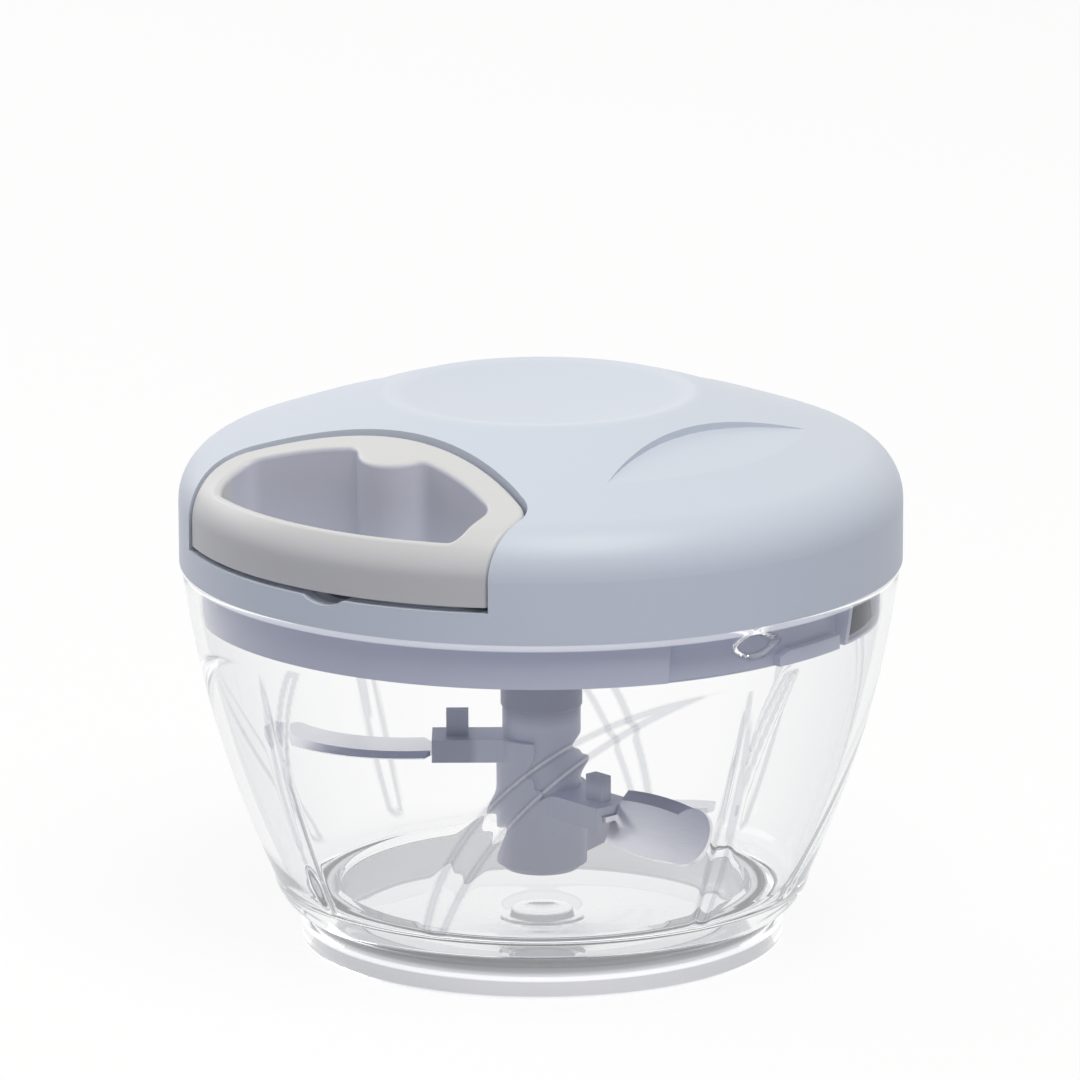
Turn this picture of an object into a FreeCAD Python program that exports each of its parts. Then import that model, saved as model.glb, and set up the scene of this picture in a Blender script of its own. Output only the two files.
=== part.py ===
# Hand-pulled food chopper: a clear bowl, a lid that holds a sprung cord drum, a pull handle
# that lies in the lid, and a three-blade set that hangs from the lid's output spindle.
#
# Millimetres. The origin is on the bowl's axis at the surface the bowl stands on, +Z is up
# and the handle is pulled towards -Y. A turn is an angle about Z in degrees, counted from
# -Y and counterclockwise seen from above.
import FreeCAD, Part

import math
import os

# ---------------------------------------------------------------- driving dimensions
# Bowl
RIM_R = 64.6          # outside radius of the bowl at its rim
RIM_Z = 70.6          # height of the rim
BASE_R = 48.9         # outside radius where the wall meets the rounded base
BASE_Z = 14.0         # height of that place
WALL_BULGE = 2.3      # how far the wall bows out from a straight cone
BOWL_WALL = 2.1       # thickness of the bowl's wall
NECK_R = 42.6         # outside radius of the neck above the foot
NECK_Z = 6.3          # height of the neck
FOOT_BEAD = 1.1       # how far the foot's bead stands out past the neck
FOOT_BEAD_TOP = 4.6   # height of the bead's upper edge
FOOT_SKIRT = 1.5      # thickness of the foot's outer skirt
FOOT_CHANNEL = 3.1    # width of the channel under the foot that takes the soft ring
CUP_WALL = 1.5        # thickness of the wall round the sunken floor
LEDGE_Z = 11.0        # height of the ledge round the sunken floor
FLOOR_Z = 3.0         # inside height of the floor
FLOOR_T = 2.0         # thickness of the floor
FLOOR_ROUND = 2.5     # rounding between floor and cup wall
POST_R = 5.85         # locating post on the floor
POST_COLLAR_R = 7.7   # low collar round the post
POST_H = 2.2          # height of the post above the floor
POST_SLOPE = 0.3      # how far the post narrows towards its top
POST_RIM = 1.9        # width of the post's flat rim
POST_DISH = 0.9       # depth of the dish in its top
COLLAR_H = 0.6        # height of the collar
CUP_EDGE = 0.6        # chamfer between ledge and cup wall
BEAD_EDGE = 0.6       # chamfer of the foot's bead
BASE_BOW = 1.05       # how far the rounded base bows out and down from a straight run
LEDGE_RUN = 5.2       # length of the rounding between wall and ledge
LEDGE_BOW = 1.0       # how far that rounding bows down
RIB_H = 1.0           # how far the swirl ribs stand in from the wall
RIB_COUNT = 4         # sets of ribs round the bowl
RIB_TURN = 77.5       # turn of the first set's upright leaf
LEAF_HALF = 0.9       # half the width of a leaf at its foot
LEAF_BELLY = 1.7      # half its width in the middle
LEAF_DROP = 14.1      # how far its tip lies below the rim
SHOOT_DROP = 38.1     # how far below the rim the side shoot leaves the leaf
SHOOT_OUT = 9.6       # how far the shoot leads sideways
SWIRL_BACK = 36.5     # degrees from a leaf back to the middle of the long swirl
SWIRL_FOOT = 20.6     # how far to the side the swirl starts
SWIRL_END = 24.8      # how far to the other side it ends
SWIRL_DROP = 12.3     # how far its end lies below the rim
SWIRL_BOW = 10.1      # how far it bows up from a straight line
SWIRL_W = 2.9         # its width
SHOOT_TIP_DROP = 10.1 # how far the shoot's tip lies below the rim

# Foot ring
RING_PLAY = 0.1       # play between the soft ring and its channel
RING_GRIP = 0.6       # how far the soft ring stands out below the foot's skirt
EDGE_CUT = 0.5        # chamfer of small edges, here and on the inner pieces

# Bayonet between bowl and lid
LUG_TURN = 78.1       # turn of the bowl's first lug
LUG_COUNT = 2
LUG_W = 9.0           # width of a bowl lug
LUG_H = 4.1           # height of a bowl lug
LUG_BELOW = 3.6       # how far its middle lies below the rim
LUG_PLAY = 0.5        # gap between a bowl lug and the lid's skirt
STRIP_SPAN = 15.5     # degrees that each lid strip covers
STRIP_GAP = 5.4       # degrees from a bowl lug's middle to its strip when the lid is unlocked
STRIP_H = 2.5         # height of a lid strip
STRIP_OUT = 1.7       # how far a lid strip stands out from the skirt
STRIP_PLAY = 0.4      # gap in height between lug and strip
STOP_BACK = 1.6       # degrees from the locked strip's end to the start of the bowl's stop
STOP_SPAN = 1.0       # degrees that the stop covers
STOP_OVER = 0.9       # how far the stop reaches in behind the strip's outside
LOCK_TURN = 16.0      # degrees that the lid turns, clockwise, to lock

# Lid
LID_OVER = 0.4        # how far the lid's wall stands out past the rim
LID_GAP = 0.3         # gap between rim and lid edge
LID_SIDE = 2.2        # thickness of the lid's side wall
LID_TOP = 2.4         # thickness of the lid's top
SHOULDER_R = 10.0     # radius of the lid's shoulder
SIDE_H = 11.0         # height of the upright wall below the shoulder
SHOULDER_SLOPE = 20.0 # slope of the dome at the shoulder, in degrees
DISH_INSET = 6.3      # distance from the recess in to the lip of the shallow dish on top
LID_H = 30.3          # height of the lid from its edge to the dish's lip, the highest place
DISH_DEPTH = 1.8
DOME_BULGE = 0.3      # how far the dome bows out between lip and shoulder
LIP_ROUND = 1.0       # width of the rounded lip

# Handle recess and the three scoops that repeat its outline
BACK_ARC_R = 75.6     # radius of the recess's curved back
RECESS_DEPTH = 31.1   # distance from the lid's side in to that back
RECESS_HALF = 35.3    # half width of the recess
RECESS_CORNER = 6.0   # rounding of its corners
SILL_H = 5.5          # height of the recess's floor above the lid's edge
POCKET_WALL = 2.0     # wall round the recess inside the lid
NOTCH_TURN = 5.0      # turn of the shallow notch for a fingertip in the recess's floor
NOTCH_HALF = 5.0      # half its width
NOTCH_DEPTH = 1.3
SCOOP_TURNS = (90.0, 180.0, 270.0)
SCOOP_DEPTH = 1.3     # depth of a scoop at its deepest
SCOOP_RUN = 13.5      # length over which a scoop runs out into the dome

# Handle
HANDLE_PLAY = 0.6     # gap round the handle in its recess
HANDLE_LIFT = 1.0     # gap under the handle
HANDLE_REST = 0.3     # gap between the handle's back and the eyelet it comes to rest on
HANDLE_SINK = 0.4     # how far the handle lies below the lid's surface
BACK_T = 5.3          # thickness of the handle's back wall
BAR_T = 3.6           # thickness of the bar that the fingers pull
CHEEK_T = 6.5         # thickness of the handle's sides
BOSS_R = 9.0          # radius of the cord boss
BOSS_DEPTH = 10.5     # distance from the recess's back to the front of the boss
HANDLE_EDGE = 1.0     # rounding of the handle's upper edges
GRIP_ROUND = 3.0      # rounding of the finger gap's corners
HANDLE_HOLE_PLAY = 0.4  # radial play of the cord in the handle
CAP_W = 6.4           # width of the pocket for ferrule and cap
CAP_WALL = 1.9        # wall between that pocket and the boss's front
CAP_BACK = 5.4        # distance from the recess's back to the pocket
CAP_OVER = 3.2        # height of the pocket above the cord's middle
CAP_T = 3.0           # thickness of the cap
CAP_PLAY = 0.05
FERRULE_R = 2.5
FERRULE_L = 2.8

# Cord
CORD_R = 0.9
CORD_UP = 13.1        # height of the cord above the lid's edge
CORD_PITCH = 2.0      # growth in radius with each turn
CORD_CORE = 11.5      # radius of the innermost turn's centre line
CORD_PLAY = 0.5       # play of the cord in the eyelet
EYELET_FLARE = 2.5    # rounding of the eyelet's mouth, which the cord bends round
EYELET_LIP = 2.9      # how far the eyelet stands in from the recess's wall
EYELET_WALL = 1.3
EYELET_RIM = 0.6      # width of the flat rim round the eyelet's mouth
EYELET_EDGE = 0.4     # chamfer where the cord leaves the eyelet

# Drum, recoil spring and clutch
AXLE_R = 3.0
AXLE_DOWN = 6.1       # how far the axle reaches below the base plate
RUN_FIT = 0.05        # radial clearance of a running fit
SEAT_FIT = 0.03       # radial clearance of a glued or pressed seat
SPIN_GAP = 0.4        # gap in height between a turning and a fixed piece
LAY_GAP = 0.1         # gap between two faces that lie on each other
DRUM_PLAY = 4.0       # gap between the drum and the eyelet
FLANGE_OVER = 2.5     # how far at least the drum's flanges stand out past the cord's middle
FLANGE_T = 1.2
GROOVE_H = 2.8        # height of the cord groove
HUB_R = 8.0           # drum hub that the spring is hooked to
AXLE_BOSS_R = 5.4
GROOVE_FLARE = 0.6    # chamfer inside the flanges' edges
HUB_BORE_PLAY = 0.6   # gap between the drum's hub and the axle's boss
SPRING_T = 0.3
SPRING_H = 6.6
SPRING_TURNS = 7
SPRING_PLAY = 0.3     # gap under the spring
SPRING_ENDS = 0.5     # gap between the spring and what it is hooked to
LID_ROOM = 0.6        # gap between the lid's inside and the housing or a screw's end
HOUSING_PLAY = 6.7    # gap between the spring housing and the recess's wall
HOUSING_T = 1.2
EAR_OUT = 6.3         # distance of the housing's screws from its wall
EAR_T = 1.6
EAR_SIDE = 1.1        # how far an ear reaches past its screw's head
EAR_RISE = 1.4        # height of the ears above the spring's middle
EAR_TURNS = (90.0, 180.0, 270.0)
EAR_SCREW_R = 1.2
EAR_HEAD_R = 2.4
EAR_HEAD_H = 1.2
EAR_BOSS_WALL = 1.8   # wall of an ear screw's boss
EAR_HOLE_END = 1.0    # distance from the end of its hole to the lid's inside
CLUTCH_R = 22.6       # outside radius of the clutch cup
CLUTCH_WALL = 2.0
CLUTCH_TEETH = 16
CLUTCH_TOOTH = 1.0    # height of a ratchet tooth
CLUTCH_H = 5.9        # height of the clutch cup
CLUTCH_BASE = 1.3     # thickness of the cup's floor
WASHER_T = 0.6
WASHER_W = 4.8
ARM_COUNT = 3         # sprung arms that drive the ratchet
ARM_RING_R = 10.0     # outside radius of the ring that the sprung arms grow from
STEM_R = 6.5          # radius of the drum's lower stem, which carries that ring
ARM_TIP_PLAY = 0.3    # gap between an arm's tip and the ratchet's teeth
TOOTH_TIP = 0.5       # degrees between a tooth's steep face and its tip

# Lid base
BASE_PLATE_T = 1.6
PLATE_RIBS = 6        # stiffening ribs under the plate
RIB_T = 1.6
RIB_DEPTH = 5.5
HOLE_PLAY = 0.2       # radial play of a screw in its hole
STRIP_LEAD = 2.6      # length of the slanted start of a lid strip
STRIP_ROOM = 0.15     # gap between a lid strip's outside and the bowl's wall
SKIRT_T = 1.8
SKIRT_DEPTH = 8.9     # how far the skirt reaches below the rim
SKIRT_ROOM = 0.3      # gap between the bowl's wall and the skirt's wide bands
BAND_TURN = 100.9     # turn at which a wide band starts, past the sweep of the bowl's lug
BAND_SPAN = 141.1     # degrees that a wide band covers, up to the other lug's sweep
PLATE_OVER = 2.0      # height of the base plate above the rim
SEAL_PLAY = 0.3
SCREW_INSET = 9.4     # distance of the lid screws from the skirt's outside
SCREW_TURNS = (58.0, 140.0, 220.0, 302.0)
SCREW_R = 1.5
SCREW_HEAD_R = 2.9
SCREW_HEAD_H = 1.6
SCREW_BITE = 9.0      # how far a lid screw reaches into its boss
SLOT_W = 0.7          # width of a screw's cross slot
BOSS_WALL = 2.4       # wall of a lid screw's boss
HOLE_SPARE = 1.5      # how much deeper than the screw its hole is
FIELD_TURN = 110.5    # middle of the sunken field in the skirt
FIELD_SPAN = 17.0
FIELD_DEPTH = 1.0

# Output spindle and blade set
SPINDLE_R = 6.0
BUSH_T = 2.0
BUSH_FLANGE = 1.6     # how far the bush's flange stands out
BUSH_FLANGE_T = 1.3
BUSH_BOSS_WALL = 3.4  # wall of the base's boss round the bush
BUSH_DOWN = 14.4      # how far the bush reaches below the base plate
HEX_AF = 8.0          # across the flats of the drive hexagon
HEX_REACH = 18.2      # how far the hexagon reaches into the blade set
HEX_FIT = 0.1
STUB_R = 3.0          # round end of the spindle below the hexagon
STUB_H = 4.0
CLIP_GROOVE = 1.0     # depth of the clip's groove
CLIP_GROOVE_H = 0.9
CLIP_T = 0.7
CLIP_OUT = 2.4        # how far the clip stands out from the spindle
CLIP_MOUTH = 6.0      # width of the clip's opening
GRIP_OUT = 0.95       # how far the grip ring stands out from the stub
GRIP_H = 2.0
HUB_LOW = 13.1
HUB_GAP = 2.0         # gap between the blade set and the bush
HUB_HEAD = 12.6       # length of the stem's wider head
HUB_STEM_R = 7.1
HUB_COLLAR_R = 8.2
HUB_FOOT_CUT = 1.4    # chamfer at the stem's foot
HUB_CUP_H = 4.0       # height of the socket for the bowl's post
HUB_CUP_PLAY = 0.6
HUB_HEAD_OUT = 0.3    # how far the wider head stands out
COLLAR_SPAN = 160.0   # degrees that the collar rises round the back of each arm
ARM_REACH = 19.8
ARM_W = 9.0
ARM_T = 4.2
TAB_R = 15.2          # distance of the upright tabs from the axis
TAB_T = 4.0
TAB_H = 4.6
TAB_W = 2.4
BLADE_T = 1.0
BLADE_W = 11.5
BLADE_FIT = 0.05
TONGUE_INSET = 1.2    # how far a blade's tongue lies inside the arm's sides
TONGUE_NEAR = 9.5     # distance of the tongue's end from the axis
ROOT_GAP = 0.3        # gap between an arm's end and the blade's wide part
EDGE_GRIND = 0.8      # share of the blade's thickness that the ground edge takes
EDGE_W = 2.2          # width of the ground edge
UPPER_TURN = -49.0
UPPER_UP = 20.5       # height of the upper arm above the hub's lower end
UPPER_PLAY = 3.3      # gap between blade tip and ribs
MIDDLE_TURN = 83.0
MIDDLE_UP = 11.3
MIDDLE_PLAY = 5.97
LOWER_TURN = 191.0
LOWER_UP = 1.1
LOWER_PLAY = 2.91
MIDDLE_PITCH = 60.0   # the middle blade is twisted by this much

UP = FreeCAD.Vector(0, 0, 1)
ORIGIN = FreeCAD.Vector(0, 0, 0)


# ---------------------------------------------------------------- geometry helpers
def vec(x, y, z=0.0):
    return FreeCAD.Vector(x, y, z)


def polar(radius, turn, z=0.0):
    """The point at a radius and a turn."""
    a = math.radians(turn)
    return vec(radius * math.sin(a), -radius * math.cos(a), z)


def on_circle(centre, radius, degrees):
    """A point of a circle in an outline's own plane."""
    a = math.radians(degrees)
    return (centre[0] + radius * math.cos(a), centre[1] + radius * math.sin(a))


def outline(place, start, *steps):
    """A closed face. A step (x, y) is a line's end, a step ((mx, my), (x, y)) an arc's middle and end."""
    edges = []
    here = start
    for step in steps + (start,):
        if isinstance(step[0], tuple):
            middle, end = step
            edges.append(Part.Arc(place(*here), place(*middle), place(*end)).toShape())
        else:
            end = step
            if math.dist(here, end) > 1e-6:
                edges.append(Part.makeLine(place(*here), place(*end)))
        here = end
    return Part.Face(Part.Wire(edges))


def turned(start, *steps):
    """A solid of revolution about Z from an outline in radius and height."""
    return outline(lambda r, z: vec(r, 0, z), start, *steps).revolve(ORIGIN, UP, 360)


def plate(low, top, start, *steps):
    """A flat outline in x and y, extruded from one height to another."""
    return outline(lambda x, y: vec(x, y, low), start, *steps).extrude(vec(0, 0, top - low))


def facing(turn, near, far, start, *steps):
    """An outline across a radius (sideways, z), extruded outwards between two distances."""
    out = polar(1.0, turn)
    side = polar(1.0, turn + 90.0)
    face = outline(lambda t, z: out * near + side * t + vec(0, 0, z), start, *steps)
    return face.extrude(out * (far - near))


def ring(inner, outer, low, top):
    """A plain ring, or a disc where inner is 0."""
    body = Part.makeCylinder(outer, top - low, vec(0, 0, low))
    if inner > 0:
        body = body.cut(Part.makeCylinder(inner, top - low, vec(0, 0, low)))
    return body


def wedge(turn, span, start, *steps):
    """An outline in radius and height, turned about Z from one turn over some degrees."""
    piece = outline(lambda r, z: vec(0, -r, z), start, *steps).revolve(ORIGIN, UP, span)
    piece.rotate(ORIGIN, UP, turn)
    return piece


def sector(inner, outer, low, top, turn, span):
    """A piece of a ring that starts at a turn and spans some degrees."""
    return wedge(turn, span, (inner, low), (outer, low), (outer, top), (inner, top))


def stud(radius, low, top, place):
    """An upright cylinder at a place given by its x and y."""
    return Part.makeCylinder(radius, top - low, vec(place.x, place.y, low))


def spiral(core, pitch, turns, offset=0.0):
    """Half circles about two centres that grow by half the pitch, as a list of edges."""
    edges = []
    for k in range(2 * turns):
        side = 1 if k % 2 == 0 else -1
        radius = core + pitch / 4 + k * pitch / 2 + offset
        centre = vec(-side * pitch / 4, 0)
        start = centre + vec(side * radius, 0)
        middle = centre + vec(0, side * radius)
        end = centre - vec(side * radius, 0)
        edges.append(Part.Arc(start, middle, end).toShape())
    return edges


def swept(edges, radius):
    """A round cord along tangent edges."""
    first = edges[0]
    start = first.valueAt(first.FirstParameter)
    direction = first.tangentAt(first.FirstParameter)
    section = Part.Wire(Part.makeCircle(radius, start, direction))
    return Part.Wire(edges).makePipeShell([section], True, True)


def hexagon(across, low, top):
    """A hexagonal bar about Z."""
    corner = across / 2 / math.cos(math.radians(30))
    points = [on_circle((0, 0), corner, 60.0 * k) for k in range(6)]
    return plate(low, top, *points)


def joined(first, *others):
    """Several overlapping solids as one."""
    return first.fuse(list(others)).removeSplitter()


# ---------------------------------------------------------------- the bowl's wall curve
def wall_outline(inset):
    """The ends and middle of the bowl's wall curve, moved inwards by an inset."""
    rise = math.hypot(RIM_R - BASE_R, RIM_Z - BASE_Z)
    out_r = (RIM_Z - BASE_Z) / rise
    out_z = -(RIM_R - BASE_R) / rise
    base = (BASE_R - inset * out_r, BASE_Z - inset * out_z)
    rim = (RIM_R - inset / out_r, RIM_Z)
    reach = WALL_BULGE - inset
    middle = ((BASE_R + RIM_R) / 2 + reach * out_r, (BASE_Z + RIM_Z) / 2 + reach * out_z)
    return base, middle, rim


def wall_radius(z, inset):
    """The radius of the bowl's wall curve at a height."""
    base, middle, rim = wall_outline(inset)
    curve = Part.Arc(vec(base[0], 0, base[1]), vec(middle[0], 0, middle[1]), vec(rim[0], 0, rim[1]))
    level = Part.makeLine(vec(0, 0, z), vec(2 * RIM_R, 0, z))
    return curve.toShape().distToShape(level)[1][0][0].x


# ---------------------------------------------------------------- worked-out dimensions
UPPER_Z = HUB_LOW + UPPER_UP
UPPER_REACH = wall_radius(UPPER_Z, BOWL_WALL + RIB_H) - UPPER_PLAY
MIDDLE_Z = HUB_LOW + MIDDLE_UP
MIDDLE_REACH = wall_radius(MIDDLE_Z, BOWL_WALL + RIB_H) - MIDDLE_PLAY
LOWER_Z = HUB_LOW + LOWER_UP
LOWER_REACH = wall_radius(LOWER_Z, BOWL_WALL + RIB_H) - LOWER_PLAY
FOOT_R = NECK_R + FOOT_BEAD
CUP_R = NECK_R - FOOT_SKIRT - FOOT_CHANNEL - CUP_WALL
LID_R = RIM_R + LID_OVER
LUG_Z = RIM_Z - LUG_BELOW
STRIP_TOP = LUG_Z - LUG_H / 2 - STRIP_PLAY
STRIP_R = wall_radius(STRIP_TOP - STRIP_H, BOWL_WALL) - STRIP_ROOM
SKIRT_R = STRIP_R - STRIP_OUT
LUG_REACH = SKIRT_R + LUG_PLAY
SCREW_RING = SKIRT_R - SCREW_INSET
BACK_NEAR = LID_R - RECESS_DEPTH
DISH_R = BACK_NEAR - DISH_INSET
SCOOP_END = BACK_NEAR + SCOOP_RUN
BOSS_REACH = BACK_NEAR + BOSS_DEPTH
LID_EDGE_Z = RIM_Z + LID_GAP
SHOULDER_Z = LID_EDGE_Z + SIDE_H
LIP_Z = LID_EDGE_Z + LID_H
RECESS_FLOOR_Z = LID_EDGE_Z + SILL_H
CORD_Z = LID_EDGE_Z + CORD_UP
SKIRT_LOW = RIM_Z - SKIRT_DEPTH
PLATE_LOW = RIM_Z + PLATE_OVER
AXLE_LOW = PLATE_LOW - AXLE_DOWN
BUSH_LOW = PLATE_LOW - BUSH_DOWN
HUB_TOP = BUSH_LOW - HUB_GAP
HUB_STEP = HUB_TOP - HUB_HEAD
HEX_LOW = HUB_TOP - HEX_REACH
HANDLE_LOW = RECESS_FLOOR_Z + HANDLE_LIFT
POCKET_LOW = RECESS_FLOOR_Z - POCKET_WALL
PLATE_TOP = PLATE_LOW + BASE_PLATE_T
GROOVE_LOW = CORD_Z - GROOVE_H / 2
GROOVE_TOP = CORD_Z + GROOVE_H / 2
DRUM_LOW = GROOVE_LOW - FLANGE_T
DRUM_TOP = GROOVE_TOP + FLANGE_T
HOUSING_LOW = DRUM_TOP + SPIN_GAP
SPRING_LOW = HOUSING_LOW + HOUSING_T + SPRING_PLAY
HUB_END = SPRING_LOW + SPRING_H + SPIN_GAP
EAR_TOP = SPRING_LOW + SPRING_H / 2 + EAR_RISE
CLUTCH_LOW = PLATE_TOP + WASHER_T + 2 * LAY_GAP
CLUTCH_FLOOR = CLUTCH_LOW + CLUTCH_BASE
WALL_LINE = BACK_NEAR - POCKET_WALL
HOUSING_R = WALL_LINE - HOUSING_PLAY
EAR_R = HOUSING_R + EAR_OUT
DRUM_R = WALL_LINE - EYELET_LIP - DRUM_PLAY
CORD_TURNS = int((DRUM_R - FLANGE_OVER - CORD_CORE) / CORD_PITCH)
CORD_EXIT = CORD_CORE + (CORD_TURNS + 1) * CORD_PITCH
EYELET_FRONT = BACK_NEAR + HANDLE_PLAY - HANDLE_REST


# ---------------------------------------------------------------- shared outlines
def dome(inset, low):
    """Everything under the lid's outer surface, down to a height, shrunk by an inset."""
    centre = (LID_R - SHOULDER_R, SHOULDER_Z)
    radius = SHOULDER_R - inset
    side = LID_R - inset
    shoulder = on_circle(centre, radius, 90.0 - SHOULDER_SLOPE)
    shoulder_middle = on_circle(centre, radius, 45.0 - SHOULDER_SLOPE / 2)
    lip = (DISH_R, LIP_Z - inset)
    lip_outer = (DISH_R + LIP_ROUND, lip[1] - 0.25 * LIP_ROUND)
    lip_inner = (DISH_R - LIP_ROUND, lip[1] - 0.08 * LIP_ROUND)
    depth = lip_inner[1] - (LIP_Z - DISH_DEPTH - inset)
    dish_radius = (lip_inner[0] ** 2 + depth ** 2) / (2 * depth)
    dish_centre = (0, lip_inner[1] - depth + dish_radius)
    dish_half = math.degrees(math.asin(lip_inner[0] / dish_radius)) / 2
    dish_middle = on_circle(dish_centre, dish_radius, dish_half - 90.0)
    dome_middle = ((lip_outer[0] + shoulder[0]) / 2, (lip_outer[1] + shoulder[1]) / 2 + DOME_BULGE)
    return turned(
        (0, low), (side, low), (side, SHOULDER_Z), (shoulder_middle, shoulder),
        (dome_middle, lip_outer), (lip, lip_inner), (dish_middle, (0, lip_inner[1] - depth)),
    )


def recess(grow, low, top):
    """The handle recess as an upright block, grown all round by an amount."""
    arc_r = BACK_ARC_R + grow
    half = RECESS_HALF + grow
    corner = RECESS_CORNER + grow
    centre = (0.0, -(BACK_NEAR + BACK_ARC_R))
    far = -(LID_R + 10.0)
    corner_x = half - corner
    corner_y = centre[1] + math.sqrt((arc_r - corner) ** 2 - corner_x ** 2)
    lean = math.degrees(math.atan2(corner_y - centre[1], corner_x))
    right = on_circle((corner_x, corner_y), corner, lean)
    right_middle = on_circle((corner_x, corner_y), corner, lean / 2)
    left = (-right[0], right[1])
    left_middle = (-right_middle[0], right_middle[1])
    back = (0.0, centre[1] + arc_r)
    return plate(
        low, top, (-half, far), (half, far), (half, corner_y), (right_middle, right),
        (back, left), (left_middle, (-half, corner_y)),
    )


def dome_height(radius):
    """The height of the lid's dome between lip and shoulder."""
    shoulder = on_circle((LID_R - SHOULDER_R, SHOULDER_Z), SHOULDER_R, 90.0 - SHOULDER_SLOPE)
    share = (radius - DISH_R) / (shoulder[0] - DISH_R)
    return LIP_Z + share * (shoulder[1] - LIP_Z) + 4 * DOME_BULGE * share * (1 - share)


def scoop(turn, drop):
    """What a scoop takes off the lid, lowered by a drop for the inside of the lid."""
    near_z = dome_height(BACK_NEAR) - SCOOP_DEPTH
    slope = (near_z - dome_height(SCOOP_END)) / (SCOOP_END - BACK_NEAR)
    apex = near_z + slope * BACK_NEAR - drop
    wide = 2 * LID_R
    cone = turned((0, apex), (wide, apex - slope * wide), (wide, apex + wide), (0, apex + wide))
    arc_r = BACK_ARC_R - drop
    column = Part.makeCylinder(arc_r, LIP_Z, vec(0, -(BACK_NEAR + BACK_ARC_R), LID_EDGE_Z))
    cutter = column.common(cone)
    cutter.rotate(ORIGIN, UP, turn)
    return cutter


# ---------------------------------------------------------------- bowl
def bowl_ribs():
    """Three ribs on the inside of the wall for each set: an upright leaf, a side shoot and a long swirl."""
    base, middle, rim = wall_outline(BOWL_WALL + RIB_H)
    base_out, middle_out, rim_out = wall_outline(BOWL_WALL / 2)
    top = RIM_Z - SHOOT_TIP_DROP
    low = LEDGE_Z - 0.5
    band = turned(
        (base[0] - 3.0, low), base, (middle, rim), rim_out, (middle_out, base_out),
        (BASE_R - BOWL_WALL, BASE_Z - 2.5), (BASE_R - 2.5 * BOWL_WALL, low),
    )
    near, far = CUP_R - 6.0, LID_R
    foot = low - 1.0
    leaf_top = RIM_Z - LEAF_DROP
    leaf_middle = (foot + leaf_top) / 2
    shoot_low = RIM_Z - SHOOT_DROP
    shoot_middle = (shoot_low + top) / 2
    swirl_top = RIM_Z - SWIRL_DROP
    swirl_middle = (foot + swirl_top) / 2 + SWIRL_BOW
    swirl_side = 0.08 * SWIRL_FOOT
    ribs = []
    for k in range(RIB_COUNT):
        start = RIB_TURN + 360.0 / RIB_COUNT * k
        leaf = facing(
            start, near, far, (-LEAF_HALF, foot), (LEAF_HALF, foot),
            ((LEAF_BELLY, leaf_middle), (0.0, leaf_top)), ((-LEAF_BELLY, leaf_middle), (-LEAF_HALF, foot)),
        )
        shoot = facing(
            start, near, far, (LEAF_HALF, shoot_low),
            ((0.38 * SHOOT_OUT, shoot_middle), (SHOOT_OUT, top - 0.6)), (0.85 * SHOOT_OUT, top),
            ((0.21 * SHOOT_OUT, shoot_middle + 0.8), (LEAF_HALF, shoot_low)),
        )
        swirl = facing(
            start - SWIRL_BACK, near, far, (-SWIRL_FOOT, foot), (0.8 * SWIRL_W - SWIRL_FOOT, foot),
            ((swirl_side, swirl_middle), (SWIRL_END, swirl_top)),
            ((-swirl_side, swirl_middle + SWIRL_W), (-SWIRL_FOOT, foot)),
        )
        ribs += [leaf.common(band), shoot.common(band), swirl.common(band)]
    return ribs


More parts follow.
